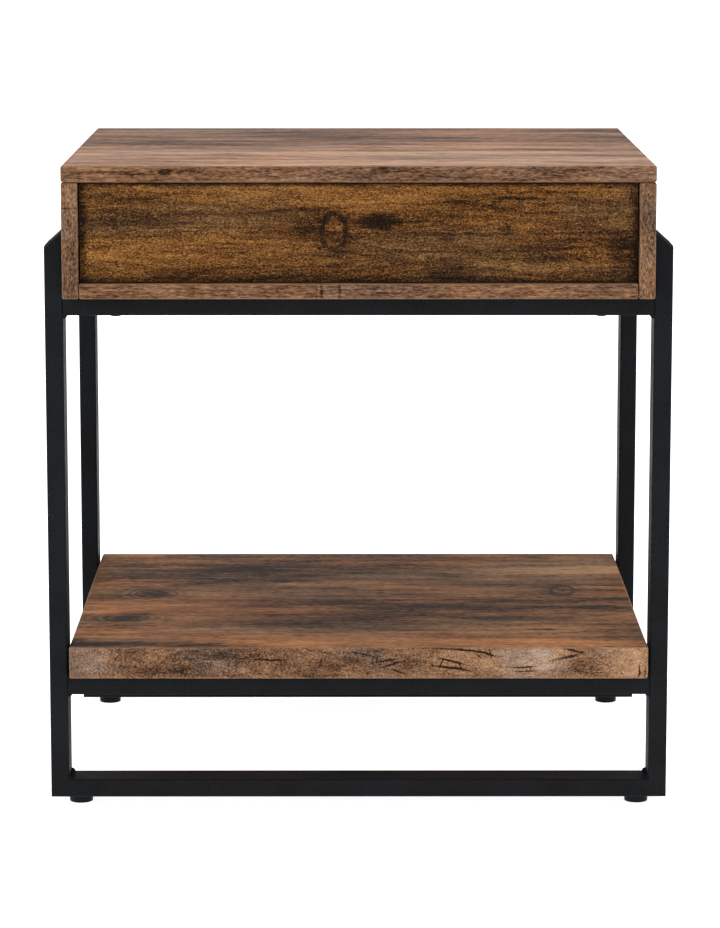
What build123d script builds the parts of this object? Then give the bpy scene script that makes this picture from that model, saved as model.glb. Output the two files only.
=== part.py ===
from build123d import *
import os

# Side table with one drawer, in millimetres.
# X is the width, Y is the depth with the front at -Y, Z is up, and the origin is the bottom centre.
# Two welded frames of rectangular tube, front and rear, carry a drawer case and a shelf between their legs.

# ---------------------------------------------------------------- driving dimensions
WIDTH = 610.0  # over the outer faces of the legs
HEIGHT = 636.0  # floor to tabletop
CASE_DEPTH = 508.0  # drawer case and tabletop
FRAME_DEPTH = 472.0  # front face of the front frame to rear face of the rear frame
SHELF_DEPTH = 490.0

TUBE_FACE = 18.0  # narrow side of the tube, seen from the front
TUBE_DEPTH = 38.0
TUBE_WALL = 1.5
TUBE_CORNER = 2.0
TUBE_INNER_CORNER = 0.6

GLIDE_HEIGHT = 8.0
GLIDE_RADIUS = 12.5
GLIDE_INSET = 28.5  # glide centre to the outer face of the leg
SHELF_RAIL_Z = 112.0  # underside of the shelf rails
BOX_RAIL_Z = 489.0  # underside of the rails that carry the case
LEG_TOP_OUTER_Z = 557.0  # leg ends slope up towards the case
LEG_TOP_INNER_Z = 573.0
LEG_TOP_ROUND = 5.0
CAP_DROP = 2.6  # thickness of the leg cap, measured straight down
WELD_LEG = 3.6

CASE_GAP = 0.5  # case side to leg
JOINT_GAP = 0.4  # between the case boards, which never pull up dead tight
SHELF_GAP = 2.0  # shelf end to leg
SIDE_THICKNESS = 16.0
TOP_THICKNESS = 16.0
BOTTOM_THICKNESS = 15.0
BACK_THICKNESS = 12.0
BACK_SET_IN = 2.0
SHELF_THICKNESS = 32.0
EASED_EDGE = 2.0  # rounding of the wrapped board edges
SHELF_EASED_EDGE = 2.2

DRAWER_SET_BACK = 8.0  # drawer front behind the case's front edges
DRAWER_FRONT_THICKNESS = 15.0
DRAWER_FRONT_SIDE_GAP = 1.2
DRAWER_FRONT_TOP_GAP = 1.8
DRAWER_FRONT_BOTTOM_GAP = 0.8
DRAWER_BOX_THICKNESS = 12.0
DRAWER_BOX_LENGTH = 400.0
DRAWER_BOX_HEIGHT = 70.0
DRAWER_BOX_LIFT = 7.0  # drawer box underside above the case bottom
DRAWER_BOTTOM_THICKNESS = 4.0
DRAWER_BOTTOM_LIFT = 8.0
GROOVE_DEPTH = 5.0
GROOVE_PLAY = 0.1
GROOVE_END_PLAY = 0.5

RUNNER_SPACE = 12.7  # between case side and drawer side
RUNNER_LENGTH = 400.0
RUNNER_FRONT_INSET = 3.0  # behind the drawer front's rear face
CAGE_LENGTH = 96.0
CAGE_START = 152.0  # cage's front end behind the runner's front end
BALL_RADIUS = 2.25
BALL_COUNT = 8
BALL_PITCH = 12.0

BOLT_X = 237.0  # bolts through the rails, from the middle
BOLT_RADIUS = 3.0
BOLT_HEAD_RADIUS = 5.5
BOLT_HEAD_HEIGHT = 2.6
BOLT_SOCKET_RADIUS = 2.3
BOLT_SOCKET_DEPTH = 1.5
INSERT_RADIUS = 4.5
FIT = 0.05  # radial play of pegs, bolts, inserts and rolling parts

# ---------------------------------------------------------------- derived places
FRAME_Y = FRAME_DEPTH / 2 - TUBE_DEPTH / 2  # middle of each frame
LEG_INNER_X = WIDTH / 2 - TUBE_FACE
FOOT_RAIL_TOP = GLIDE_HEIGHT + TUBE_FACE
SHELF_Z = SHELF_RAIL_Z + TUBE_FACE
CASE_Z = BOX_RAIL_Z + TUBE_FACE
CASE_X = LEG_INNER_X - CASE_GAP  # outer face of the case sides
SIDE_INNER_X = CASE_X - SIDE_THICKNESS
SIDE_MID_X = CASE_X - SIDE_THICKNESS / 2
TOP_Z = HEIGHT - TOP_THICKNESS
BOTTOM_TOP_Z = CASE_Z + BOTTOM_THICKNESS
BOTTOM_MID_Z = CASE_Z + BOTTOM_THICKNESS / 2
BACK_REAR_Y = CASE_DEPTH / 2 - BACK_SET_IN
BACK_FRONT_Y = BACK_REAR_Y - BACK_THICKNESS
BACK_MID_Y = BACK_REAR_Y - BACK_THICKNESS / 2
SHELF_X = LEG_INNER_X - SHELF_GAP

FRONT_FACE_Y = -CASE_DEPTH / 2 + DRAWER_SET_BACK
BOX_FRONT_Y = FRONT_FACE_Y + DRAWER_FRONT_THICKNESS
BOX_REAR_Y = BOX_FRONT_Y + DRAWER_BOX_LENGTH
DRAWER_OUTER_X = SIDE_INNER_X - RUNNER_SPACE
DRAWER_INNER_X = DRAWER_OUTER_X - DRAWER_BOX_THICKNESS
DRAWER_MID_X = DRAWER_OUTER_X - DRAWER_BOX_THICKNESS / 2
DRAWER_Z = BOTTOM_TOP_Z + DRAWER_BOX_LIFT
DRAWER_TOP_Z = DRAWER_Z + DRAWER_BOX_HEIGHT
DRAWER_MID_Z = DRAWER_Z + DRAWER_BOX_HEIGHT / 2
DRAWER_FLOOR_Z = DRAWER_Z + DRAWER_BOTTOM_LIFT
RUNNER_Y = BOX_FRONT_Y + RUNNER_FRONT_INSET

SIDES = {"left": -1, "right": 1}
FRAMES = {"front": -1, "rear": 1}
ENDS = (-1, 1)


# ---------------------------------------------------------------- shared shapes
def block(x, y, z):
    """A plain box from (low, high) pairs."""
    size = Box(x[1] - x[0], y[1] - y[0], z[1] - z[0], align=(Align.MIN, Align.MIN, Align.MIN))
    return Pos(x[0], y[0], z[0]) * size


def board(x, y, z, ease=EASED_EDGE):
    """A wrapped board with every edge eased."""
    plain = block(x, y, z)
    return fillet(plain.edges(), ease)


def rod(start, direction, radius, length):
    """A round peg that starts at a point and runs along a direction."""
    plane = Plane(origin=start, z_dir=direction)
    return plane * Cylinder(radius, length, align=(Align.CENTER, Align.CENTER, Align.MIN))


def group(solids):
    """Several separate solids kept in one node."""
    return Compound(children=list(solids))


def mirrored_x(side, low, high):
    """The (low, high) pair of a span given for the right side, on either side."""
    return (low, high) if side > 0 else (-high, -low)


def upright_tube(side, y):
    """The solid outside and the hollow inside of a leg's tube, longer than needed."""
    place = Pos(side * (WIDTH / 2 - TUBE_FACE / 2), y, 0)
    outside = place * extrude(RectangleRounded(TUBE_FACE, TUBE_DEPTH, TUBE_CORNER), HEIGHT)
    bore = RectangleRounded(TUBE_FACE - 2 * TUBE_WALL, TUBE_DEPTH - 2 * TUBE_WALL, TUBE_INNER_CORNER)
    inside = place * extrude(bore, HEIGHT)
    return outside, inside


def lying_tube(y, z, half_length):
    """A tube along X with its underside at z."""
    section = RectangleRounded(TUBE_DEPTH, TUBE_FACE, TUBE_CORNER)
    bore = RectangleRounded(TUBE_DEPTH - 2 * TUBE_WALL, TUBE_FACE - 2 * TUBE_WALL, TUBE_INNER_CORNER)
    place = Plane(origin=(-half_length, y, z + TUBE_FACE / 2), x_dir=(0, 1, 0), z_dir=(1, 0, 0))
    return extrude(place * (section - bore), 2 * half_length)


def xz_prism(face):
    """An XZ outline made into a prism that spans the whole depth."""
    return extrude(Plane.XZ * face, HEIGHT, both=True)


# ---------------------------------------------------------------- frames
def leg_outline(side, drop, rounded):
    """A leg seen from the front: mitred foot, sloping top, lowered by drop."""
    outer_x = side * WIDTH / 2
    inner_x = side * LEG_INNER_X
    corner = (outer_x, LEG_TOP_OUTER_Z - drop)
    points = [(outer_x, GLIDE_HEIGHT), corner, (inner_x, LEG_TOP_INNER_Z - drop), (inner_x, FOOT_RAIL_TOP)]
    face = make_face(Polyline(*points, close=True))
    if rounded:
        shoulder = [v for v in face.vertices() if abs(v.X - corner[0]) < 1 and abs(v.Y - corner[1]) < 1]
        face = fillet(shoulder, LEG_TOP_ROUND)
    return face


def leg(side, end):
    """One upright tube, open under its welded cap."""
    outside, inside = upright_tube(side, end * FRAME_Y)
    return (outside - inside) & xz_prism(leg_outline(side, CAP_DROP, False))


def leg_cap(side, end):
    """The welded plate that closes a leg's sloping end."""
    outside, _ = upright_tube(side, end * FRAME_Y)
    whole = outside & xz_prism(leg_outline(side, 0, True))
    return whole - xz_prism(leg_outline(side, CAP_DROP, False))


def foot_rail(end):
    """The bottom tube of a frame, mitred into both legs, with a hole for each glide's stem."""
    tube = lying_tube(end * FRAME_Y, GLIDE_HEIGHT, WIDTH / 2)
    half = WIDTH / 2
    points = [(-half, GLIDE_HEIGHT), (half, GLIDE_HEIGHT)]
    points += [(LEG_INNER_X, FOOT_RAIL_TOP), (-LEG_INNER_X, FOOT_RAIL_TOP)]
    tube &= xz_prism(make_face(Polyline(*points, close=True)))
    for side in ENDS:
        tube -= rod(glide_top(side, end), (0, 0, 1), GLIDE_STEM_RADIUS + FIT, TUBE_WALL + 1)
    return tube


def cross_rail(end, z):
    """A tube butted between the legs, bored for the bolts that come up through it."""
    tube = lying_tube(end * FRAME_Y, z, LEG_INNER_X)
    for side in ENDS:
        tube -= rod((side * BOLT_X, end * FRAME_Y, z - 1), (0, 0, 1), BOLT_RADIUS + 0.3, TUBE_FACE + 2)
    return tube


def weld_bead(side, end, z, up):
    """A fillet weld along the tube's depth, in the corner between a leg and a rail."""
    corner_x = side * LEG_INNER_X
    points = [(corner_x, z), (corner_x - side * WELD_LEG, z), (corner_x, z + up * WELD_LEG)]
    prism = xz_prism(make_face(Polyline(*points, close=True)))
    length = TUBE_DEPTH / 2 - TUBE_CORNER
    y = end * FRAME_Y
    return prism & block((-WIDTH, WIDTH), (y - length, y + length), (0, HEIGHT))


def weld_beads():
    """Every fillet weld of both frames: under each cross rail and above each foot rail."""
    corners = [(BOX_RAIL_Z, -1), (SHELF_RAIL_Z, -1), (FOOT_RAIL_TOP, 1)]
    return group(weld_bead(s, e, z, up) for s in ENDS for e in ENDS for z, up in corners)


GLIDE_STEM_RADIUS = 3.5
GLIDE_STEM_LENGTH = 10.0
GLIDE_TREAD_RADIUS = 11.4
GLIDE_TAPER_HEIGHT = 5.0
GLIDE_ROUND = 0.6


def glide_top(side, end):
    """The middle of a glide's upper face, on the underside of the foot rail."""
    return (side * (WIDTH / 2 - GLIDE_INSET), end * FRAME_Y, GLIDE_HEIGHT)


def glide(side, end):
    """A round plastic foot with a stem pressed into the foot rail."""
    x, y, _ = glide_top(side, end)
    taper = Cone(
        GLIDE_TREAD_RADIUS, GLIDE_RADIUS, GLIDE_TAPER_HEIGHT, align=(Align.CENTER, Align.CENTER, Align.MIN)
    )
    pad = Pos(x, y, 0) * taper
    pad += rod((x, y, GLIDE_TAPER_HEIGHT), (0, 0, 1), GLIDE_RADIUS, GLIDE_HEIGHT - GLIDE_TAPER_HEIGHT)
    pad = fillet(pad.edges().sort_by(Axis.Z)[0], GLIDE_ROUND)
    return pad + rod((x, y, GLIDE_HEIGHT), (0, 0, 1), GLIDE_STEM_RADIUS, GLIDE_STEM_LENGTH)


# ---------------------------------------------------------------- bolts and inserts
BOX_BOLT_LENGTH = 25.0
BOX_INSERT_LENGTH = 10.0
SHELF_BOLT_LENGTH = 32.0
SHELF_INSERT_LENGTH = 13.0
INSERT_CLEARANCE = 1.0


def button_bolt(x, y, z, length):
    """A button-head bolt whose head sits under z and whose shank runs up."""
    head = rod((x, y, z - BOLT_HEAD_HEIGHT), (0, 0, 1), BOLT_HEAD_RADIUS, BOLT_HEAD_HEIGHT)
    head = fillet(head.edges().sort_by(Axis.Z)[0], BOLT_HEAD_HEIGHT - 0.4)
    socket = Pos(x, y, z - BOLT_HEAD_HEIGHT) * extrude(RegularPolygon(BOLT_SOCKET_RADIUS, 6), BOLT_SOCKET_DEPTH)
    return head - socket + rod((x, y, z), (0, 0, 1), BOLT_RADIUS, length)


def insert_nut(x, y, z, length):
    """A threaded insert sunk into a board from below."""
    return rod((x, y, z), (0, 0, 1), INSERT_RADIUS, length) - rod((x, y, z), (0, 0, 1), BOLT_RADIUS + FIT, length)


def rail_bolts(z, length):
    """The four bolts that come up through one pair of rails."""
    return group(button_bolt(s * BOLT_X, e * FRAME_Y, z, length) for s in ENDS for e in ENDS)


def rail_inserts(z, length):
    """The four inserts that those bolts screw into."""
    return group(insert_nut(s * BOLT_X, e * FRAME_Y, z, length) for s in ENDS for e in ENDS)


def insert_holes(z, length):
    """The blind holes for the inserts and for the bolt tips beyond them."""
    radius = INSERT_RADIUS + FIT
    return [rod((s * BOLT_X, e * FRAME_Y, z), (0, 0, 1), radius, length) for s in ENDS for e in ENDS]


# ---------------------------------------------------------------- cams and dowels of the case
CAM_RADIUS = 7.5
CAM_DEPTH = 12.0
CAM_REACH = 24.0  # cam centre behind the joint
CAM_SLOT = (7.0, 1.2, 2.4)  # screwdriver slot across the cam's face
CAM_BOLT_RADIUS = 3.5
CAM_THREAD_RADIUS = 3.0
CAM_THREAD_LENGTH = 10.0
TOP_CAM_Y = (-185.0, 185.0)
BOTTOM_CAM_Y = (-150.0, 150.0)
DOWEL_RADIUS = 4.0
DOWEL_LENGTH = 28.0
DOWEL_SHORT_END = 10.0  # the part in the faced board
TOP_DOWEL_Y = (-110.0, 110.0)
BOTTOM_DOWEL_Y = (-70.0, 70.0)
BACK_DOWEL_RADIUS = 3.0
BACK_DOWEL_Z = (542.0, 592.0)
PEG_PLAY = 0.5  # empty length at each end of a peg's hole
BACK_SCREW_X = (-180.0, 0.0, 180.0)
WOOD_SCREW_RADIUS = 2.0
WOOD_SCREW_HEAD_RADIUS = 3.6
WOOD_SCREW_HEAD_HEIGHT = 2.4
BACK_SCREW_LENGTH = 40.0


def top_joint(side, y):
    """Start, direction and cam axis of a joint between the tabletop and a case side."""
    return (side * SIDE_MID_X, y, TOP_Z), (0, 0, -1), (side * SIDE_INNER_X, y, TOP_Z - CAM_REACH), (side, 0, 0)


def bottom_joint(side, y):
    """Start, direction and cam axis of a joint between a case side and the bottom."""
    start = (side * SIDE_INNER_X, y, BOTTOM_MID_Z)
    return start, (-side, 0, 0), (side * (SIDE_INNER_X - CAM_REACH), y, CASE_Z), (0, 0, 1)


def case_joints():
    """All eight cam joints of the case."""
    joints = [top_joint(side, y) for side in ENDS for y in TOP_CAM_Y]
    return joints + [bottom_joint(side, y) for side in ENDS for y in BOTTOM_CAM_Y]


def against(direction):
    """The opposite direction."""
    return tuple(-part for part in direction)


def stepped_rod(joint, play):
    """A cam bolt, or with play the hole that takes it."""
    start, direction, _, _ = joint
    rear = against(direction)
    shank = rod(start, direction, CAM_BOLT_RADIUS + play, CAM_REACH)
    return shank + rod(start, rear, CAM_THREAD_RADIUS + play, CAM_THREAD_LENGTH + play)


def cam_lock(joint):
    """A round cam with the slot that takes the bolt's head."""
    start, direction, face, inward = joint
    body = rod(face, inward, CAM_RADIUS, CAM_DEPTH)
    body -= rod(start, direction, CAM_BOLT_RADIUS + 2 * FIT, CAM_REACH + FIT)
    return body - Plane(origin=face, z_dir=inward) * Box(*CAM_SLOT)


def cam_hole(joint):
    """The blind hole that takes a cam."""
    _, _, face, inward = joint
    return rod(face, inward, CAM_RADIUS + FIT, CAM_DEPTH + FIT)


def dowel_at(start, direction, radius, play):
    """A dowel across a joint, or with play the hole that takes it."""
    end_play = PEG_PLAY if play else 0
    long_end = rod(start, direction, radius + play, DOWEL_LENGTH - DOWEL_SHORT_END + end_play)
    return long_end + rod(start, against(direction), radius + play, DOWEL_SHORT_END + end_play)


def case_dowels(play=0):
    """Every dowel of the case, or with play their holes."""
    pegs = [dowel_at(top_joint(s, y)[0], (0, 0, -1), DOWEL_RADIUS, play) for s in ENDS for y in TOP_DOWEL_Y]
    for side in ENDS:
        for y in BOTTOM_DOWEL_Y:
            pegs.append(dowel_at(bottom_joint(side, y)[0], (-side, 0, 0), DOWEL_RADIUS, play))
        for z in BACK_DOWEL_Z:
            start = (side * SIDE_INNER_X, BACK_MID_Y, z)
            pegs.append(dowel_at(start, (-side, 0, 0), BACK_DOWEL_RADIUS, play))
    return pegs


def wood_screw(start, direction, length, play=0):
    """A screw whose head lies just inside the start face, or with play its hole."""
    end_play = PEG_PLAY if play else 0
    head = rod(start, direction, WOOD_SCREW_HEAD_RADIUS + play, WOOD_SCREW_HEAD_HEIGHT)
    return head + rod(start, direction, WOOD_SCREW_RADIUS + play, length + end_play)


def back_screws(play=0):
    """The screws that come up through the bottom into the back, or their holes."""
    return [wood_screw((x, BACK_MID_Y, CASE_Z), (0, 0, 1), BACK_SCREW_LENGTH, play) for x in BACK_SCREW_X]


def cut(body, holes):
    """A body with every hole taken out of it."""
    for hole in holes:
        body -= hole
    return body


# ---------------------------------------------------------------- case and shelf
def joint_holes():
    """All holes for the case's own fasteners."""
    holes = [stepped_rod(joint, FIT) for joint in case_joints()]
    holes += [cam_hole(joint) for joint in case_joints()]
    return holes + case_dowels(FIT) + back_screws(FIT)


def near(holes, body):
    """The holes whose boxes reach into a body's box."""
    room = body.bounding_box()
    return [hole for hole in holes if hole.bounding_box().overlaps(room, 0)]


def case_board(x, y, z, extra=()):
    """An eased board with the case's joint holes and any further ones."""
    body = board(x, y, z)
    return cut(body, near(CASE_HOLES, body) + list(extra))


def top_panel():
    """The tabletop, as wide and as deep as the case."""
    return case_board((-CASE_X, CASE_X), (-CASE_DEPTH / 2, CASE_DEPTH / 2), (TOP_Z, HEIGHT))


def side_panel(side):
    """A case side, from the rails up to the tabletop."""
    x = mirrored_x(side, SIDE_INNER_X, CASE_X)
    holes = runner_screws(side, FIT)
    return case_board(x, (-CASE_DEPTH / 2, CASE_DEPTH / 2), (CASE_Z, TOP_Z - JOINT_GAP), holes)


def bottom_panel():
    """The case bottom, between the sides and on the rails."""
    x = (-SIDE_INNER_X + JOINT_GAP, SIDE_INNER_X - JOINT_GAP)
    holes = insert_holes(CASE_Z, BOX_INSERT_LENGTH + INSERT_CLEARANCE)
    return case_board(x, (-CASE_DEPTH / 2, CASE_DEPTH / 2), (CASE_Z, BOTTOM_TOP_Z), holes)


def back_panel():
    """The case back, between the sides, the bottom and the tabletop."""
    body = block((-SIDE_INNER_X, SIDE_INNER_X), (BACK_FRONT_Y, BACK_REAR_Y), (BOTTOM_TOP_Z, TOP_Z))
    return cut(body, near(CASE_HOLES, body) + latch_screws(FIT))


def shelf():
    """The thick lower shelf, bolted to its rails."""
    y = (-SHELF_DEPTH / 2, SHELF_DEPTH / 2)
    body = board((-SHELF_X, SHELF_X), y, (SHELF_Z, SHELF_Z + SHELF_THICKNESS), SHELF_EASED_EDGE)
    return cut(body, insert_holes(SHELF_Z, SHELF_BOLT_LENGTH - TUBE_FACE + INSERT_CLEARANCE))


# ---------------------------------------------------------------- drawer
DRAWER_CAM_RADIUS = 6.0
DRAWER_CAM_DEPTH = 9.0
DRAWER_CAM_Z = (554.0, 584.0)
DRAWER_CAM_BOLT_RADIUS = 2.5
DRAWER_CAM_THREAD_LENGTH = 9.0
DRAWER_SCREW_Z = (548.0, 584.0)
DRAWER_SCREW_LENGTH = 38.0


def groove():
    """The groove around the inside of the drawer that takes its bottom."""
    x = DRAWER_INNER_X + GROOVE_DEPTH
    y = (BOX_FRONT_Y - GROOVE_DEPTH, BOX_REAR_Y - DRAWER_BOX_THICKNESS + GROOVE_DEPTH)
    z = (DRAWER_FLOOR_Z - GROOVE_PLAY, DRAWER_FLOOR_Z + DRAWER_BOTTOM_THICKNESS + GROOVE_PLAY)
    return block((-x, x), y, z)


def drawer_cam_spots():
    """Side and height of each cam behind the drawer front."""
    return [(side, z) for side in ENDS for z in DRAWER_CAM_Z]


def drawer_cam_bolt(side, z, play=0):
    """A bolt from the drawer front into a side's cam, or its hole."""
    start = (side * DRAWER_MID_X, BOX_FRONT_Y, z)
    shank = rod(start, (0, 1, 0), DRAWER_CAM_BOLT_RADIUS + play, CAM_REACH)
    return shank + rod(start, (0, -1, 0), DRAWER_CAM_BOLT_RADIUS + play, DRAWER_CAM_THREAD_LENGTH + play)


def drawer_cam(side, z, play=0):
    """A cam in a drawer side's inner face, or with play its hole."""
    start = (side * DRAWER_INNER_X, BOX_FRONT_Y + CAM_REACH, z)
    body = rod(start, (side, 0, 0), DRAWER_CAM_RADIUS + play, DRAWER_CAM_DEPTH + play)
    if play:
        return body
    return body - drawer_cam_bolt(side, z, 2 * FIT) - rod(start, (side, 0, 0), 1.5, 1.5)


def drawer_screws(play=0):
    """Screws through the drawer sides into the ends of its back, or their holes."""
    y = BOX_REAR_Y - DRAWER_BOX_THICKNESS / 2
    return [
        wood_screw((side * DRAWER_OUTER_X, y, z), (-side, 0, 0), DRAWER_SCREW_LENGTH, play)
        for side in ENDS
        for z in DRAWER_SCREW_Z
    ]


def drawer_front():
    """The inset front, with no handle."""
    x = SIDE_INNER_X - DRAWER_FRONT_SIDE_GAP
    z = (BOTTOM_TOP_Z + DRAWER_FRONT_BOTTOM_GAP, TOP_Z - DRAWER_FRONT_TOP_GAP)
    body = board((-x, x), (FRONT_FACE_Y, BOX_FRONT_Y), z, 1.0) - groove()
    return cut(body, [drawer_cam_bolt(side, height, FIT) for side, height in drawer_cam_spots()])


def drawer_side(side):
    """A drawer side, grooved for the bottom and bored for its fasteners."""
    x = mirrored_x(side, DRAWER_INNER_X, DRAWER_OUTER_X)
    body = block(x, (BOX_FRONT_Y, BOX_REAR_Y), (DRAWER_Z, DRAWER_TOP_Z)) - groove()
    holes = [drawer_cam(s, z, FIT) for s, z in drawer_cam_spots() if s == side]
    holes += [drawer_cam_bolt(s, z, FIT) for s, z in drawer_cam_spots() if s == side]
    return cut(body, near(holes + drawer_screws(FIT), body) + slide_screws(side, FIT))


def drawer_back():
    """The drawer's back, between its sides."""
    y = (BOX_REAR_Y - DRAWER_BOX_THICKNESS, BOX_REAR_Y)
    body = block((-DRAWER_INNER_X, DRAWER_INNER_X), y, (DRAWER_Z, DRAWER_TOP_Z)) - groove()
    return cut(body, near(drawer_screws(FIT), body) + strike_screws(FIT))


def drawer_bottom():
    """The thin drawer bottom, held in the groove."""
    x = DRAWER_INNER_X + GROOVE_DEPTH - GROOVE_END_PLAY
    front = BOX_FRONT_Y - GROOVE_DEPTH + GROOVE_END_PLAY
    rear = BOX_REAR_Y - DRAWER_BOX_THICKNESS + GROOVE_DEPTH - GROOVE_END_PLAY
    return block((-x, x), (front, rear), (DRAWER_FLOOR_Z, DRAWER_FLOOR_Z + DRAWER_BOTTOM_THICKNESS))


# ---------------------------------------------------------------- ball-bearing runners
# A runner's section is given by its distance from the case side and its height about its own middle.
RUNNER_HALF_HEIGHT = 13.4
RUNNER_SHEET = 1.2
RUNNER_FLANGE_REACH = 9.5
RUNNER_LIP = 1.3
SLIDE_HALF_HEIGHT = 7.6
SLIDE_FLANGE = 1.0
SLIDE_FLANGE_START = 3.4
CAGE_WEB = (1.7, 2.3)
CAGE_FLANGE_REACH = 8.0
CAGE_FLANGE = (9.5, 10.3)
BALL_U = 5.3
BALL_W = 9.9
RUNNER_SCREW_OFFSETS = (30.0, 180.0, 370.0)
SLIDE_SCREW_OFFSETS = (40.0, 200.0, 360.0)
SMALL_SCREW_RADIUS = 1.6
SMALL_HEAD_RADIUS = 3.2
SMALL_SCREW_LENGTH = 11.0
SLIDE_SCREW_LENGTH = 9.0


def runner_bar(side, u, w, y):
    """A straight bar of a runner's section."""
    x = mirrored_x(side, SIDE_INNER_X - u[1], SIDE_INNER_X - u[0])
    return block(x, y, (DRAWER_MID_Z + w[0], DRAWER_MID_Z + w[1]))


def runner_span():
    """The runners' front and rear ends."""
    return (RUNNER_Y, RUNNER_Y + RUNNER_LENGTH)


def runner_channel(side, bars):
    """A folded channel: its web, and its flange and lip bars above and below."""
    body = None
    for u, w in bars:
        for turn in ENDS:
            span = w if turn > 0 else (-w[1], -w[0])
            bar = runner_bar(side, u, span, runner_span())
            body = bar if body is None else body + bar
    return body


def small_screws(side, u, inward, offsets, length, play=0):
    """Flush screws through a runner, or their holes."""
    head_play = 0.05 if play else 0
    screws = []
    for offset in offsets:
        start = (side * (SIDE_INNER_X - u), RUNNER_Y + offset, DRAWER_MID_Z)
        head = rod(start, (inward, 0, 0), SMALL_HEAD_RADIUS + play, RUNNER_SHEET)
        shank = rod(start, (inward, 0, 0), SMALL_SCREW_RADIUS + play, length + head_play)
        screws.append(head + shank)
    return screws


def runner_screws(side, play=0):
    """Screws that hold a runner's fixed member to the case side, or their holes."""
    return small_screws(side, RUNNER_SHEET, side, RUNNER_SCREW_OFFSETS, SMALL_SCREW_LENGTH, play)


def slide_screws(side, play=0):
    """Screws that hold a runner's moving member to the drawer side, or their holes."""
    start = RUNNER_SPACE - RUNNER_SHEET
    return small_screws(side, start, -side, SLIDE_SCREW_OFFSETS, SLIDE_SCREW_LENGTH, play)


def runner_rail(side):
    """The fixed member, on the case side."""
    web = ((0, RUNNER_SHEET), (0, RUNNER_HALF_HEIGHT))
    flange = ((0, RUNNER_FLANGE_REACH), (RUNNER_HALF_HEIGHT - RUNNER_SHEET, RUNNER_HALF_HEIGHT))
    lip_low = RUNNER_HALF_HEIGHT - RUNNER_SHEET - RUNNER_LIP
    lip = ((RUNNER_FLANGE_REACH - 1.0, RUNNER_FLANGE_REACH), (lip_low, RUNNER_HALF_HEIGHT))
    return cut(runner_channel(side, (web, flange, lip)), runner_screws(side, FIT))


def runner_slide(side):
    """The moving member, on the drawer side."""
    web = ((RUNNER_SPACE - RUNNER_SHEET, RUNNER_SPACE), (0, SLIDE_HALF_HEIGHT))
    flange = ((SLIDE_FLANGE_START, RUNNER_SPACE), (SLIDE_HALF_HEIGHT - SLIDE_FLANGE, SLIDE_HALF_HEIGHT))
    return cut(runner_channel(side, (web, flange)), slide_screws(side, FIT))


def ball_spots(side):
    """The middle of every ball of one runner."""
    first = RUNNER_Y + CAGE_START + (CAGE_LENGTH - (BALL_COUNT - 1) * BALL_PITCH) / 2
    x = side * (SIDE_INNER_X - BALL_U)
    return [(x, first + i * BALL_PITCH, DRAWER_MID_Z + t * BALL_W) for t in ENDS for i in range(BALL_COUNT)]


def ball_cage(side):
    """The strip that spaces the balls, between the two members."""
    y = (RUNNER_Y + CAGE_START, RUNNER_Y + CAGE_START + CAGE_LENGTH)
    cage = runner_bar(side, CAGE_WEB, (-CAGE_FLANGE[1], CAGE_FLANGE[1]), y)
    for low, high in (CAGE_FLANGE, (-CAGE_FLANGE[1], -CAGE_FLANGE[0])):
        cage += runner_bar(side, (CAGE_WEB[0], CAGE_FLANGE_REACH), (low, high), y)
    holes = [rod((x, y0, z - 1.5), (0, 0, 1), BALL_RADIUS + FIT, 3.0) for x, y0, z in ball_spots(side)]
    return cut(cage, holes)


def runner_balls(side):
    """The loose balls of one runner."""
    return group(Pos(*spot) * Sphere(BALL_RADIUS) for spot in ball_spots(side))


# ---------------------------------------------------------------- push-to-open latch
LATCH_FRONT_Y = 182.0
LATCH_HALF = (10.0, 9.0)  # half width and half height of the housing
LATCH_FLANGE_HALF_HEIGHT = 17.0
LATCH_FLANGE_THICKNESS = 2.5
LATCH_MOUTH = 4.0
LATCH_BORE_REAR_Y = 234.0
PLUNGER_RADIUS = 4.0
COLLAR_RADIUS = 5.0
COLLAR_LENGTH = 3.0
PLUNGER_REAR_Y = 212.0
PLUNGER_SOCKET_Y = 186.0
PLUNGER_SOCKET_RADIUS = 3.3
PLUNGER_STROKE = 4.0
STRIKE_THICKNESS = 1.5
STRIKE_HALF = 9.0
STRIKE_GAP = 0.3
STRIKE_SCREW_X = 6.4
STRIKE_HEAD_RADIUS = 2.0
STRIKE_SCREW_RADIUS = 1.2
STRIKE_SCREW_LENGTH = 9.0
SPRING_RADIUS = 2.5
SPRING_WIRE_RADIUS = 0.35
SPRING_PITCH = 3.2
LATCH_SCREW_HEIGHT = 13.2
LATCH_SCREW_LENGTH = 10.0
LATCH_SCREW_RADIUS = 1.6
LATCH_HEAD_RADIUS = 2.8


def latch_body():
    """The latch's housing, screwed to the case back."""
    half_x, half_z = LATCH_HALF
    z = (DRAWER_MID_Z - half_z, DRAWER_MID_Z + half_z)
    body = block((-half_x, half_x), (LATCH_FRONT_Y, BACK_FRONT_Y), z)
    tall = (DRAWER_MID_Z - LATCH_FLANGE_HALF_HEIGHT, DRAWER_MID_Z + LATCH_FLANGE_HALF_HEIGHT)
    body += block((-half_x, half_x), (BACK_FRONT_Y - LATCH_FLANGE_THICKNESS, BACK_FRONT_Y), tall)
    body -= rod((0, LATCH_FRONT_Y, DRAWER_MID_Z), (0, 1, 0), PLUNGER_RADIUS + 2 * FIT, LATCH_MOUTH)
    wide_start = LATCH_FRONT_Y + LATCH_MOUTH
    wide = LATCH_BORE_REAR_Y - wide_start
    body -= rod((0, wide_start, DRAWER_MID_Z), (0, 1, 0), COLLAR_RADIUS + 2 * FIT, wide)
    return cut(body, latch_screws(FIT))


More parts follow.
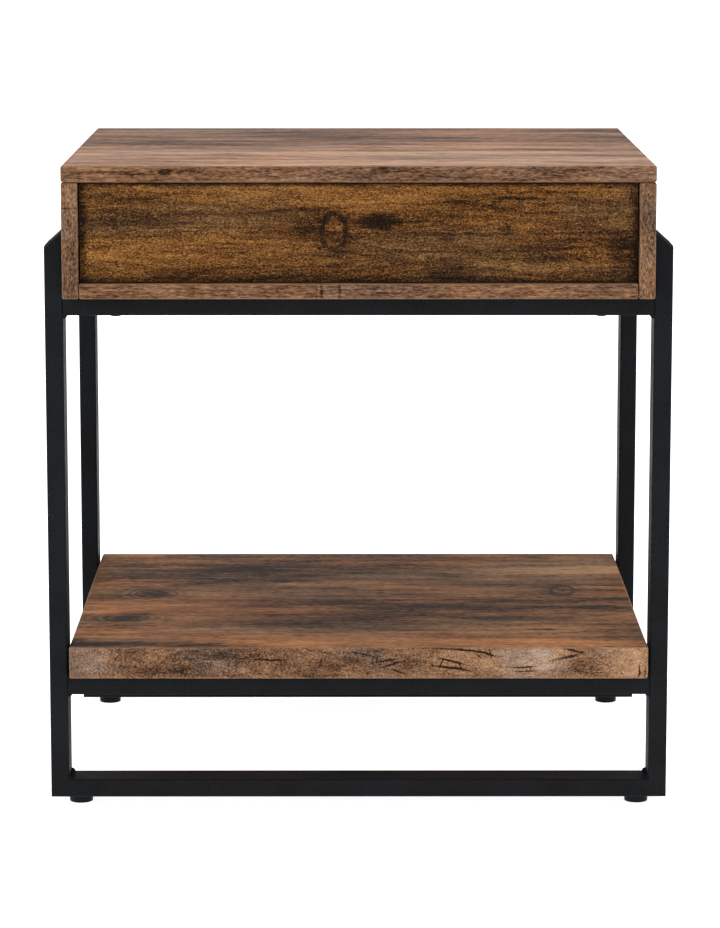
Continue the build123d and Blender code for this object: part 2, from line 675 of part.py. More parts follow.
def latch_plunger():
    """The sprung plunger that pushes the drawer out."""
    tip_y = BOX_REAR_Y + STRIKE_THICKNESS + STRIKE_GAP
    body = rod((0, tip_y, DRAWER_MID_Z), (0, 1, 0), PLUNGER_RADIUS, PLUNGER_REAR_Y - tip_y)
    body = fillet(body.edges().sort_by(Axis.Y)[0], 0.8)
    collar_y = LATCH_FRONT_Y + LATCH_MOUTH + FIT
    body += rod((0, collar_y, DRAWER_MID_Z), (0, 1, 0), COLLAR_RADIUS, COLLAR_LENGTH)
    depth = PLUNGER_REAR_Y - PLUNGER_SOCKET_Y
    return body - rod((0, PLUNGER_SOCKET_Y, DRAWER_MID_Z), (0, 1, 0), PLUNGER_SOCKET_RADIUS, depth)


def latch_spring():
    """The plunger's coil spring, drawn at the length it has with the plunger pressed."""
    start_y = PLUNGER_SOCKET_Y + PLUNGER_STROKE + SPRING_WIRE_RADIUS + 0.3
    height = LATCH_BORE_REAR_Y - SPRING_WIRE_RADIUS - 0.3 - start_y
    path = Helix(SPRING_PITCH, height, SPRING_RADIUS, center=(0, 0, 0), direction=(0, 0, 1))
    profile = Plane(origin=path @ 0, z_dir=path % 0) * Circle(SPRING_WIRE_RADIUS)
    coil = sweep(profile, path=path)
    return Pos(0, start_y, DRAWER_MID_Z) * Rot(-90, 0, 0) * coil


def latch_strike():
    """The steel plate on the drawer's back that the plunger meets."""
    z = (DRAWER_MID_Z - STRIKE_HALF, DRAWER_MID_Z + STRIKE_HALF)
    body = block((-STRIKE_HALF, STRIKE_HALF), (BOX_REAR_Y, BOX_REAR_Y + STRIKE_THICKNESS), z)
    return cut(body, strike_screws(FIT))


def strike_screws(play=0):
    """The two screws of the strike plate, or their holes."""
    screws = []
    for side in ENDS:
        start = (side * STRIKE_SCREW_X, BOX_REAR_Y + STRIKE_THICKNESS, DRAWER_MID_Z)
        head = rod(start, (0, -1, 0), STRIKE_HEAD_RADIUS + play, STRIKE_THICKNESS)
        screws.append(head + rod(start, (0, -1, 0), STRIKE_SCREW_RADIUS + play, STRIKE_SCREW_LENGTH + play))
    return screws


def latch_screws(play=0):
    """The two screws of the latch's flange, or their holes."""
    screws = []
    for turn in ENDS:
        start = (0, BACK_FRONT_Y - LATCH_FLANGE_THICKNESS, DRAWER_MID_Z + turn * LATCH_SCREW_HEIGHT)
        head = rod(start, (0, 1, 0), LATCH_HEAD_RADIUS + play, LATCH_FLANGE_THICKNESS - 1)
        screws.append(head + rod(start, (0, 1, 0), LATCH_SCREW_RADIUS + play, LATCH_SCREW_LENGTH + play))
    return screws


# ---------------------------------------------------------------- the whole table
def both_sides(make, **options):
    """A group of what one function makes for the left and the right."""
    return group(piece for side in ENDS for piece in make(side, **options))


def frame_nodes():
    """Both welded frames with their glides."""
    nodes = {}
    for end_name, end in FRAMES.items():
        for side_name, side in SIDES.items():
            nodes[f"{end_name}_{side_name}_leg"] = leg(side, end)
            nodes[f"{end_name}_{side_name}_leg_cap"] = leg_cap(side, end)
            nodes[f"{end_name}_{side_name}_glide"] = glide(side, end)
        nodes[f"{end_name}_foot_rail"] = foot_rail(end)
        nodes[f"{end_name}_shelf_rail"] = cross_rail(end, SHELF_RAIL_Z)
        nodes[f"{end_name}_box_rail"] = cross_rail(end, BOX_RAIL_Z)
    nodes["weld_beads"] = weld_beads()
    return nodes


def case_nodes():
    """The drawer case, the shelf, and what fastens them."""
    return {
        "top_panel": top_panel(),
        "left_side_panel": side_panel(-1),
        "right_side_panel": side_panel(1),
        "bottom_panel": bottom_panel(),
        "back_panel": back_panel(),
        "shelf": shelf(),
        "box_bolts": rail_bolts(BOX_RAIL_Z, BOX_BOLT_LENGTH),
        "box_insert_nuts": rail_inserts(CASE_Z, BOX_INSERT_LENGTH),
        "shelf_bolts": rail_bolts(SHELF_RAIL_Z, SHELF_BOLT_LENGTH),
        "shelf_insert_nuts": rail_inserts(SHELF_Z, SHELF_INSERT_LENGTH),
        "case_cam_locks": group(cam_lock(joint) for joint in case_joints()),
        "case_cam_bolts": group(stepped_rod(joint, 0) for joint in case_joints()),
        "case_dowels": group(case_dowels()),
        "back_panel_screws": group(back_screws()),
    }


def drawer_nodes():
    """The drawer and its own fasteners."""
    return {
        "drawer_front": drawer_front(),
        "drawer_left_side": drawer_side(-1),
        "drawer_right_side": drawer_side(1),
        "drawer_back": drawer_back(),
        "drawer_bottom": drawer_bottom(),
        "drawer_cam_locks": group(drawer_cam(side, z) for side, z in drawer_cam_spots()),
        "drawer_cam_bolts": group(drawer_cam_bolt(side, z) for side, z in drawer_cam_spots()),
        "drawer_screws": group(drawer_screws()),
        "slide_screws": both_sides(slide_screws),
        "latch_strike": latch_strike(),
        "strike_screws": group(strike_screws()),
    }


def runner_nodes():
    """Both ball-bearing runners."""
    nodes = {"runner_screws": both_sides(runner_screws)}
    for name, side in SIDES.items():
        nodes[f"{name}_runner_rail"] = runner_rail(side)
        nodes[f"{name}_runner_slide"] = runner_slide(side)
        nodes[f"{name}_ball_cage"] = ball_cage(side)
        nodes[f"{name}_runner_balls"] = runner_balls(side)
    return nodes


def latch_nodes():
    """The push-to-open latch on the case back."""
    return {
        "latch_body": latch_body(),
        "latch_plunger": latch_plunger(),
        "latch_spring": latch_spring(),
        "latch_screws": group(latch_screws()),
    }


CASE_HOLES = joint_holes()
os.makedirs("parts", exist_ok=True)
table = frame_nodes() | case_nodes() | drawer_nodes() | runner_nodes() | latch_nodes()
for node_name, shape in table.items():
    export_step(shape, f"parts/{node_name}.step")
print(len(table), "nodes")
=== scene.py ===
"""Side table with a drawer: the finishes, the fine hardware and the studio around its fixed frame."""

import logging
import math
from collections.abc import Callable
from dataclasses import dataclass, replace
from enum import Enum

import bmesh
import bpy
from mathutils import Matrix, Vector


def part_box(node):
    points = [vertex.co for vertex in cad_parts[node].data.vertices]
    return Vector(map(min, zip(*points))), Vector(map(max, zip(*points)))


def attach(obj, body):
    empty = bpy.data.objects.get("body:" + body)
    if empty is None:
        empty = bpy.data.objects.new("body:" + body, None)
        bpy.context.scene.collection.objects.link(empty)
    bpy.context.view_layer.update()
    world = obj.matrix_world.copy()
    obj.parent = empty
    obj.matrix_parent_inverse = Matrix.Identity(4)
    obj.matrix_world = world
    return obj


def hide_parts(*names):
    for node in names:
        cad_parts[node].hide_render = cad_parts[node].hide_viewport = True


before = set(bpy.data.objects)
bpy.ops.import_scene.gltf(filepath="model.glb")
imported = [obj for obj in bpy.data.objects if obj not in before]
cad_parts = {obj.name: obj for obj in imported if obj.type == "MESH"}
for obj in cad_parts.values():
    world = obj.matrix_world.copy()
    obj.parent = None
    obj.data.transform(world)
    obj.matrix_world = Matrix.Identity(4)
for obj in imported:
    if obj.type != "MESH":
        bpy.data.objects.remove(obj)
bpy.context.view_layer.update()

log = logging.getLogger("side_table")
MM = 0.001
# About the index of refraction of paints, plastics, printed foils and wood.
RESIN_IOR = 1.5
Socket = bpy.types.NodeSocket
Tree = bpy.types.NodeTree
Piece = bpy.types.Object


# ---------------------------------------------------------------- nodes and colours
#
# A Mix node takes its share at input 0, two values at 2 and 3 and two colours at 6 and 7, and gives the
# mixed value at output 0 and the mixed colour at output 2.


def linear(colour: str) -> tuple[float, float, float, float]:
    """Turns an sRGB hex colour into the linear values that a shader takes.

    Args:
        colour: Six hex digits with a leading hash.

    Returns:
        Linear red, green, blue and an alpha of one.
    """
    parts = [int(colour[at : at + 2], 16) / 255 for at in (1, 3, 5)]
    flat = [c / 12.92 if c <= 0.04045 else ((c + 0.055) / 1.055) ** 2.4 for c in parts]
    return (flat[0], flat[1], flat[2], 1.0)


def add_node(
    tree: Tree,
    kind: str,
    inputs: dict[int | str, object] | None = None,
    stops: tuple[tuple[float, object], ...] = (),
    **settings: object,
) -> bpy.types.Node:
    """Adds one node with its settings, its values and its links.

    Args:
        tree: The node tree it goes in.
        kind: The node's type name.
        inputs: For each input, by name or number, a value or the socket that feeds it.
        stops: For a colour ramp, the place and the colour of each stop.
        settings: The node's own properties.

    Returns:
        The new node.
    """
    made = tree.nodes.new(kind)
    for name, value in settings.items():
        setattr(made, name, value)
    for key, value in (inputs or {}).items():
        if isinstance(value, Socket):
            tree.links.new(value, made.inputs[key])
        else:
            made.inputs[key].default_value = value
    for number, (place, shade) in enumerate(stops):
        ramp = made.color_ramp.elements
        stop = ramp[number] if number < 2 else ramp.new(place)
        stop.position = place
        stop.color = linear(shade) if isinstance(shade, str) else (shade, shade, shade, 1.0)
    return made


def streaks(
    tree: Tree, place: Socket, size: tuple[float, float], detail: float, rough: float = 0.5
) -> Socket:
    """Draws soft streaks that run along the first axis.

    Args:
        tree: The material's node tree.
        place: The point in millimetres, turned so that the streaks run along its first axis.
        size: The length and the width of a streak in millimetres.
        detail: How many finer scales are added.
        rough: How strong the finer scales are.

    Returns:
        The pattern, about one half on average.
    """
    along, across = size
    scale = (1 / along, 1 / across, 1 / across)
    stretched = add_node(tree, "ShaderNodeMapping", {"Vector": place, "Scale": scale}).outputs[0]
    return add_node(
        tree,
        "ShaderNodeTexNoise",
        {"Vector": stretched, "Scale": 1.0, "Detail": detail, "Roughness": rough},
    ).outputs[0]


@dataclass(frozen=True)
class Swing:
    """How the roughness follows a pattern: the pattern's two ends, and what each adds to it."""

    low: float
    high: float
    at_low: float
    at_high: float


@dataclass(frozen=True)
class Relief:
    """A fine relief of a surface: how strong it looks, and its depth in metres."""

    strength: float
    depth: float


@dataclass(frozen=True)
class Finish:
    """What all finishes share: one material with one shader, which paint fills in."""

    name: str

    def material(self) -> bpy.types.Material:
        """Makes the material the first time it is asked for.

        Returns:
            The material.
        """
        made = bpy.data.materials.get(self.name)
        if made is not None:
            return made
        made = bpy.data.materials.new(self.name)
        made.use_nodes = True
        tree = made.node_tree
        tree.nodes.clear()
        shader = add_node(tree, "ShaderNodeBsdfPrincipled")
        add_node(tree, "ShaderNodeOutputMaterial", {"Surface": shader.outputs["BSDF"]})
        at = add_node(tree, "ShaderNodeTexCoord").outputs["Object"]
        place = add_node(tree, "ShaderNodeVectorMath", {0: at, 1: (1 / MM,) * 3}, operation="MULTIPLY")
        self.paint(tree, shader, place.outputs[0])
        return made

    def paint(self, tree: Tree, shader: bpy.types.Node, place: Socket) -> None:
        """Fills in the shader.

        Args:
            tree: The material's node tree.
            shader: Its Principled shader.
            place: The point on the object, in millimetres.
        """
        raise NotImplementedError

    def coat(
        self,
        tree: Tree,
        shader: bpy.types.Node,
        colour: Socket,
        sheen: tuple[Socket, float, Swing],
        raised: tuple[Socket, Relief],
        values: dict[str, float],
    ) -> None:
        """Feeds the shader its colour, its uneven roughness, its relief and its even values.

        Args:
            tree: The material's node tree.
            shader: Its Principled shader.
            colour: The colour.
            sheen: The pattern that the roughness follows, its middle value and its swing.
            raised: The pattern that stands up, and how much.
            values: The shader's even values, by the names of its inputs.
        """
        pattern, middle, swing = sheen
        height, relief = raised
        rough = add_node(
            tree,
            "ShaderNodeMapRange",
            {
                "Value": pattern,
                "From Min": swing.low,
                "From Max": swing.high,
                "To Min": middle + swing.at_low,
                "To Max": middle + swing.at_high,
            },
        ).outputs[0]
        bump = add_node(
            tree, "ShaderNodeBump", {"Height": height, "Strength": relief.strength, "Distance": relief.depth}
        ).outputs[0]
        for name, socket in (("Base Color", colour), ("Roughness", rough), ("Normal", bump)):
            tree.links.new(socket, shader.inputs[name])
        for name, value in values.items():
            shader.inputs[name].default_value = value


# ---------------------------------------------------------------- woodgrain


class Plane(Enum):
    """The face that a mark is printed on, by the two axes it is placed with."""

    FLAT = "width and depth"
    UPRIGHT = "width and height"


class MarkKind(Enum):
    """How a mark darkens the print from its middle outwards."""
    # A soft mark: a stain or streak, or a line or band of painted shade where a gap or recess lies in shadow.

    STAIN = "stain"
    RING_KNOT = "ring knot"
    EYE = "eye"


# From the middle of the knot outwards: the share of its size, and how dark the print is there.
# The first two stops are the two ends.
RING_STOPS = {
    MarkKind.RING_KNOT: (
        (0.0, 0.1),
        (1.0, 0.0),
        (0.2, 0.06),
        (0.34, 0.14),
        (0.40, 0.72),
        (0.46, 1.0),
        (0.53, 0.72),
        (0.58, 0.25),
        (0.64, 0.3),
        (0.74, 0.06),
    ),
    MarkKind.EYE: (
        (0.0, 1.0),
        (1.0, 0.0),
        (0.22, 0.85),
        (0.36, 0.4),
        (0.42, 0.75),
        (0.52, 0.12),
        (0.6, 0.4),
        (0.72, 0.02),
        (0.8, 0.18),
    ),
}


class Grain(Enum):
    """The way the grain runs, as the turn that brings it onto the first axis."""

    WIDTH = (0.0, 0.0, 0.0)
    DEPTH = (0.0, 0.0, math.radians(-90))
    HEIGHT = (0.0, math.radians(90), 0.0)


@dataclass(frozen=True)
class Mark:
    """One knot, stain, streak or cracked patch, or a line or band of painted shade, placed in millimetres on
    its face.
    """

    along: float
    across: float
    half_length: float
    half_width: float
    depth: float = 0.3
    soft: float = 0.6
    kind: MarkKind = MarkKind.STAIN
    tilt: float = 0.0


@dataclass(frozen=True)
class Layer:
    """One scale of the grain, as the length and width of its streaks in millimetres."""

    along: float
    across: float
    amount: float
    detail: float = 2.0


@dataclass(frozen=True)
class WoodPrint:
    """A printed sheet: its inks from darkest to palest, its figure and its marks, among them lines of painted
    shade at gaps.

    Sizes are millimetres. Pairs of edges are the values of a pattern at which an effect starts and is full.
    """

    inks: tuple[str, ...]
    washed: tuple[str, ...]
    layers: tuple[Layer, ...]
    plane: Plane = Plane.FLAT
    marks: tuple[Mark, ...] = ()
    rings: float = 0.15
    ring_size: tuple[float, float] = (330.0, 46.0)
    ring_count: float = 9.0
    ring_width: float = 0.28
    ring_pull: float = 0.12
    pores: float = 0.25
    pore_size: tuple[float, float] = (9.0, 1.3)
    pore_edges: tuple[float, float] = (0.56, 0.7)
    wash_size: tuple[float, float] = (260.0, 70.0)
    wash_edges: tuple[float, float] = (0.40, 0.62)
    # The print grows darker or paler along a direction, by this much a millimetre.
    tone_slope: tuple[float, float, float] = (0.0, 0.0, 0.0)
    level: float = 0.5
    wobble: tuple[float, float, float] = (16.0, 5.0, 5.0)
    wobble_size: float = 24.0
    fine_strength: float = 0.6

    def mark(self, tree: Tree, place: Socket, mark: Mark) -> Socket:
        """Draws one mark.

        Args:
            tree: The material's node tree.
            place: The point on the board in millimetres, a little unsteady.
            mark: The mark's place, size and kind.

        Returns:
            How much the mark darkens the print there.
        """
        flat = self.plane is Plane.FLAT
        # A mark goes right through the board, so its third size is far more than any thickness.
        far = 1e6
        centre = (mark.along, mark.across, 0.0) if flat else (mark.along, 0.0, mark.across)
        size = (mark.half_length, mark.half_width, far) if flat else (mark.half_length, far, mark.half_width)
        tilt = math.radians(mark.tilt)
        turn = (0.0, 0.0, tilt) if flat else (0.0, -tilt, 0.0)
        around = add_node(
            tree,
            "ShaderNodeMapping",
            {"Vector": place, "Location": centre, "Rotation": turn, "Scale": size},
            vector_type="TEXTURE",
        ).outputs[0]
        reach = add_node(tree, "ShaderNodeVectorMath", {0: around}, operation="LENGTH").outputs["Value"]
        if mark.kind in RING_STOPS:
            half = add_node(tree, "ShaderNodeMath", {0: reach, 1: 0.5}, operation="MULTIPLY").outputs[0]
            rings = add_node(
                tree, "ShaderNodeValToRGB", {"Fac": half}, stops=RING_STOPS[mark.kind]
            ).outputs[0]
            return add_node(
                tree, "ShaderNodeMath", {0: rings, 1: mark.depth}, operation="MULTIPLY"
            ).outputs[0]
        return add_node(
            tree,
            "ShaderNodeMapRange",
            {"Value": reach, "From Min": 1 + mark.soft, "From Max": 1 - mark.soft, "To Max": mark.depth},
            interpolation_type="SMOOTHSTEP",
        ).outputs[0]

    def all_marks(self, tree: Tree, place: Socket) -> Socket | None:
        """Draws all the marks and adds them up.

        Args:
            tree: The material's node tree.
            place: The point on the board in millimetres, a little unsteady.

        Returns:
            How much the marks darken the print there, or None for a print without marks.
        """
        dark: Socket | None = None
        for mark in self.marks:
            made = self.mark(tree, place, mark)
            if dark is None:
                dark = made
            else:
                dark = add_node(tree, "ShaderNodeMath", {0: dark, 1: made}, operation="ADD").outputs[0]
        return dark

    def year_rings(self, tree: Tree, place: Socket, dark: Socket | None) -> Socket:
        """Draws the contour lines of the figure, which bend around the marks.

        Args:
            tree: The material's node tree.
            place: The unsteady point with the grain along its first axis.
            dark: How much the marks darken the print there, or None.

        Returns:
            What the lines add to the shade.
        """
        hills = streaks(tree, place, self.ring_size, 1.0)
        if dark is not None:
            hills = add_node(
                tree, "ShaderNodeMath", {0: dark, 1: self.ring_pull, 2: hills}, operation="MULTIPLY_ADD"
            ).outputs[0]
        climb = add_node(
            tree, "ShaderNodeMath", {0: hills, 1: self.ring_count}, operation="MULTIPLY"
        ).outputs[0]
        contour = add_node(tree, "ShaderNodeMath", {0: climb, 1: 0.5}, operation="PINGPONG").outputs[0]
        return add_node(
            tree,
            "ShaderNodeMapRange",
            {
                "Value": contour,
                "From Min": 0.0,
                "From Max": self.ring_width,
                "To Min": -self.rings,
                "To Max": self.rings / 3,
            },
            interpolation_type="SMOOTHSTEP",
        ).outputs[0]

    def colour(self, tree: Tree, place: Socket, grain: Socket, facing: Socket) -> tuple[Socket, Socket]:
        """Prints the sheet.

        Args:
            tree: The material's node tree.
            place: The point on the board in millimetres.
            grain: The same point turned and shifted so that the grain runs along the first axis.
            facing: One on the face that carries the marks, nought elsewhere.

        Returns:
            The colour, and the height of the pressed grain.
        """
        coarse = add_node(
            tree, "ShaderNodeTexNoise", {"Vector": grain, "Scale": 1 / self.wobble_size, "Detail": 2.0}
        ).outputs[1]
        centred = add_node(
            tree, "ShaderNodeVectorMath", {0: coarse, 1: (0.5, 0.5, 0.5)}, operation="SUBTRACT"
        ).outputs[0]
        unsteady, bent = (
            add_node(
                tree, "ShaderNodeVectorMath", {0: centred, 1: self.wobble, 2: point}, operation="MULTIPLY_ADD"
            ).outputs[0]
            for point in (place, grain)
        )
        dark = self.all_marks(tree, unsteady)
        value: object = self.level - sum(layer.amount for layer in self.layers) / 2
        height: object = 0.5
        for layer in self.layers:
            height = streaks(tree, bent, (layer.along, layer.across), layer.detail, self.fine_strength)
            value = add_node(
                tree, "ShaderNodeMath", {0: height, 1: layer.amount, 2: value}, operation="MULTIPLY_ADD"
            ).outputs[0]
        pores = add_node(
            tree,
            "ShaderNodeMapRange",
            {
                "Value": streaks(tree, bent, self.pore_size, 1.0),
                "From Min": self.pore_edges[0],
                "From Max": self.pore_edges[1],
                "To Max": -self.pores,
            },
            interpolation_type="SMOOTHSTEP",
        ).outputs[0]
        sloped_tone = add_node(
            tree, "ShaderNodeVectorMath", {0: place, 1: self.tone_slope}, operation="DOT_PRODUCT"
        ).outputs["Value"]
        for more in (self.year_rings(tree, bent, dark), pores, sloped_tone):
            value = add_node(tree, "ShaderNodeMath", {0: value, 1: more}, operation="ADD").outputs[0]
        if dark is not None:
            shown = add_node(tree, "ShaderNodeMath", {0: dark, 1: facing}, operation="MULTIPLY").outputs[0]
            value = add_node(tree, "ShaderNodeMath", {0: value, 1: shown}, operation="SUBTRACT").outputs[0]
        last = len(self.inks) - 1
        painted = []
        for inks in (self.inks, self.washed):
            ends = ((0.0, inks[0]), (1.0, inks[last]))
            between = tuple((number / last, inks[number]) for number in range(1, last))
            painted.append(
                add_node(tree, "ShaderNodeValToRGB", {"Fac": value}, stops=ends + between).outputs[0]
            )
        washed = add_node(
            tree,
            "ShaderNodeMapRange",
            {
                "Value": streaks(tree, bent, self.wash_size, 3.0),
                "From Min": self.wash_edges[0],
                "From Max": self.wash_edges[1],
            },
            interpolation_type="SMOOTHSTEP",
        ).outputs[0]
        colour = add_node(
            tree, "ShaderNodeMix", {0: washed, 6: painted[0], 7: painted[1]}, data_type="RGBA"
        ).outputs[2]
        pressed = add_node(tree, "ShaderNodeMath", {0: height, 1: pores}, operation="ADD").outputs[0]
        return colour, pressed


@dataclass(frozen=True)
class FoilBoard(Finish):
    """Particle board wrapped in matt printed woodgrain foil.

    The eye reads matt old planks with a soft sheen at a low angle, fine pressed grain and paler arrises.
    The paler arrises are partly rubbed wear and partly a painted highlight on the eased edges.
    """

    face: WoodPrint
    edge: WoodPrint
    face_axis: int
    shift: tuple[float, float, float] = (0.0, 0.0, 0.0)
    face_grain: Grain = Grain.WIDTH
    edge_grain: Grain = Grain.WIDTH
    # The paler colour of the arrises: rubbed wear together with a painted highlight on the eased edges.
    arris_wear_and_highlight: str = "#8F705A"
    arris_wear_and_highlight_share: float = 0.3
    # How square a face is to its axis: past this it takes the face print.
    face_limit: float = 0.72
    # Past this, a face carries the marks of its print.
    marked_limit: float = 0.5
    # Between these two, as a face turns away from every axis, the paler arris colour grows: partly rubbed
    # wear, partly a painted highlight.
    arris_wear_and_highlight_edges: tuple[float, float] = (0.995, 0.93)
    arris_patch_size: float = 7.0
    arris_patch_edges: tuple[float, float] = (0.35, 0.6)
    least_arris_patch: float = 0.3
    roughness: float = 0.55
    gloss: float = 0.05
    swing: Swing = Swing(0.2, 0.8, 0.12, -0.08)
    relief: Relief = Relief(0.35, 0.0002)

    def paint(self, tree: Tree, shader: bpy.types.Node, place: Socket) -> None:
        """Fills in the shader: face and edge prints, paler arrises (rubbed wear and a painted highlight),
        sheen and pressed grain.

        Args:
            tree: The material's node tree.
            shader: Its Principled shader.
            place: The point on the object, in millimetres.
        """
        normal = add_node(tree, "ShaderNodeNewGeometry").outputs["True Normal"]
        sides = add_node(tree, "ShaderNodeSeparateXYZ", {0: normal}).outputs
        front = add_node(
            tree, "ShaderNodeMath", {0: sides[1], 1: -self.marked_limit}, operation="LESS_THAN"
        ).outputs[0]
        above = add_node(
            tree, "ShaderNodeMath", {0: sides[2], 1: self.marked_limit}, operation="GREATER_THAN"
        ).outputs[0]
        sizes = [
            add_node(tree, "ShaderNodeMath", {0: side}, operation="ABSOLUTE").outputs[0] for side in sides
        ]
        is_face = add_node(
            tree, "ShaderNodeMath", {0: sizes[self.face_axis], 1: self.face_limit}, operation="GREATER_THAN"
        ).outputs[0]
        painted = []
        for print_, turn in ((self.edge, self.edge_grain), (self.face, self.face_grain)):
            grain = add_node(
                tree, "ShaderNodeMapping", {"Vector": place, "Rotation": turn.value, "Location": self.shift}
            ).outputs[0]
            facing = front if print_.plane is Plane.UPRIGHT else above
            painted.append(print_.colour(tree, place, grain, facing))
        colour = add_node(
            tree, "ShaderNodeMix", {0: is_face, 6: painted[0][0], 7: painted[1][0]}, data_type="RGBA"
        ).outputs[2]
        pressed = add_node(
            tree, "ShaderNodeMix", {0: is_face, 2: painted[0][1], 3: painted[1][1]}
        ).outputs[0]
        largest = sizes[0]
        for size in sizes[1:]:
            largest = add_node(tree, "ShaderNodeMath", {0: largest, 1: size}, operation="MAXIMUM").outputs[0]
        arris_patch_noise = add_node(
            tree, "ShaderNodeTexNoise", {"Vector": place, "Scale": 1 / self.arris_patch_size, "Detail": 3.0}
        ).outputs[0]
        patchy = add_node(
            tree,
            "ShaderNodeMapRange",
            {
                "Value": arris_patch_noise,
                "From Min": self.arris_patch_edges[0],
                "From Max": self.arris_patch_edges[1],
                "To Min": self.least_arris_patch,
                "To Max": 1.0,
            },
        ).outputs[0]
        # The arrises are painted paler: partly rubbed wear, partly a painted highlight where the eased edges
        # catch the light.
        arris = add_node(
            tree,
            "ShaderNodeMapRange",
            {
                "Value": largest,
                "From Min": self.arris_wear_and_highlight_edges[0],
                "From Max": self.arris_wear_and_highlight_edges[1],
                "To Max": self.arris_wear_and_highlight_share,
            },
        ).outputs[0]
        arris_wear_and_highlight_amount = add_node(tree, "ShaderNodeMath", {0: arris, 1: patchy}, operation="MULTIPLY").outputs[0]
        colour = add_node(
            tree, "ShaderNodeMix", {0: arris_wear_and_highlight_amount, 6: colour, 7: linear(self.arris_wear_and_highlight)}, data_type="RGBA"
        ).outputs[2]
        values = {"IOR": RESIN_IOR, "Specular IOR Level": self.gloss}
        sheen = (pressed, self.roughness, self.swing)
        self.coat(tree, shader, colour, sheen, (pressed, self.relief), values)


# ---------------------------------------------------------------- other finishes


@dataclass(frozen=True)
class PowderCoat(Finish):
    """Baked polyester powder on steel tube: a satin black with a very fine orange-peel skin."""

    deep: str = "#0A0B0C"
    pale: str = "#15171A"
    # Real peel is near half a millimetre across, drawn coarser so that it still shows.
    peel: float = 1.4
    cloud_size: float = 60.0
    tone_edges: tuple[float, float] = (0.75, 1.25)
    roughness: float = 0.6
    gloss: float = 0.07
    swing: Swing = Swing(0.35, 0.65, -0.05, 0.08)
    relief: Relief = Relief(0.25, 0.0001)

    def paint(self, tree: Tree, shader: bpy.types.Node, place: Socket) -> None:
        """Fills in the shader: near-black tone, peel relief and slightly uneven sheen.

        Args:
            tree: The material's node tree.
            shader: Its Principled shader.
            place: The point on the object, in millimetres.
        """
        skin, cloud = (
            add_node(
                tree, "ShaderNodeTexNoise", {"Vector": place, "Scale": 1 / size, "Detail": 3.0}
            ).outputs[0]
            for size in (self.peel, self.cloud_size)
        )
        tone = add_node(tree, "ShaderNodeMath", {0: skin, 1: cloud}, operation="ADD").outputs[0]
        low, high = self.tone_edges
        spread = add_node(
            tree, "ShaderNodeMapRange", {"Value": tone, "From Min": low, "From Max": high}
        ).outputs[0]
        colour = add_node(
            tree, "ShaderNodeMix", {0: spread, 6: linear(self.deep), 7: linear(self.pale)}, data_type="RGBA"
        ).outputs[2]
        values = {"IOR": RESIN_IOR, "Specular IOR Level": self.gloss}
        sheen = (cloud, self.roughness, self.swing)
        self.coat(tree, shader, colour, sheen, (skin, self.relief), values)


@dataclass(frozen=True)
class MouldedPlastic(Finish):
    """Injection-moulded polyethylene or acetal: an even colour, a waxy sheen and a spark-eroded grain."""

    deep: str = "#101112"
    pale: str = "#1C1D1E"
    ior: float = RESIN_IOR
    roughness: float = 0.5
    gloss: float = 0.25
    # The mould's grain is near 0.2 mm, drawn coarser so that it shows.
    grain: float = 0.8
    flow_size: float = 9.0
    flow_bend: float = 1.5
    swing: Swing = Swing(0.3, 0.7, -0.06, 0.08)
    relief: Relief = Relief(0.2, 0.00008)

    def paint(self, tree: Tree, shader: bpy.types.Node, place: Socket) -> None:
        """Fills in the shader: even tone, fine tool grain and flow-marked sheen.

        Args:
            tree: The material's node tree.
            shader: Its Principled shader.
            place: The point on the object, in millimetres.
        """
        grain, flow = (
            add_node(
                tree,
                "ShaderNodeTexNoise",
                {"Vector": place, "Scale": 1 / size, "Detail": 2.0, "Distortion": bend},
            ).outputs[0]
            for size, bend in ((self.grain, 0.0), (self.flow_size, self.flow_bend))
        )
        colour = add_node(
            tree, "ShaderNodeMix", {0: flow, 6: linear(self.deep), 7: linear(self.pale)}, data_type="RGBA"
        ).outputs[2]
        values = {"IOR": self.ior, "Specular IOR Level": self.gloss}
        sheen = (flow, self.roughness, self.swing)
        self.coat(tree, shader, colour, sheen, (grain, self.relief), values)


@dataclass(frozen=True)
class PlatedSteel(Finish):
    """Rolled or turned steel, plated or blackened: drawn lines along it and a cloudy passivated sheen."""

    deep: str = "#9DA1A6"
    pale: str = "#C3C7CB"
    roughness: float = 0.3
    line: tuple[float, float] = (60.0, 0.6)
    cloud_size: float = 6.0
    tone_edges: tuple[float, float] = (0.7, 1.3)
    metallic: float = 1.0
    swing: Swing = Swing(0.7, 1.3, 0.1, -0.08)
    relief: Relief = Relief(0.15, 0.00005)

    def paint(self, tree: Tree, shader: bpy.types.Node, place: Socket) -> None:
        """Fills in the shader: drawn lines, spangle-like clouding and varied roughness.

        Args:
            tree: The material's node tree.
            shader: Its Principled shader.
            place: The point on the object, in millimetres.
        """
        lines = streaks(tree, place, self.line, 2.0)
        cloud = add_node(
            tree, "ShaderNodeTexNoise", {"Vector": place, "Scale": 1 / self.cloud_size, "Detail": 3.0}
        ).outputs[0]
        tone = add_node(tree, "ShaderNodeMath", {0: lines, 1: cloud}, operation="ADD").outputs[0]
        low, high = self.tone_edges
        spread = add_node(
            tree, "ShaderNodeMapRange", {"Value": tone, "From Min": low, "From Max": high}
        ).outputs[0]
        colour = add_node(
            tree, "ShaderNodeMix", {0: spread, 6: linear(self.deep), 7: linear(self.pale)}, data_type="RGBA"
        ).outputs[2]
        sheen = (tone, self.roughness, self.swing)
        self.coat(tree, shader, colour, sheen, (lines, self.relief), {"Metallic": self.metallic})


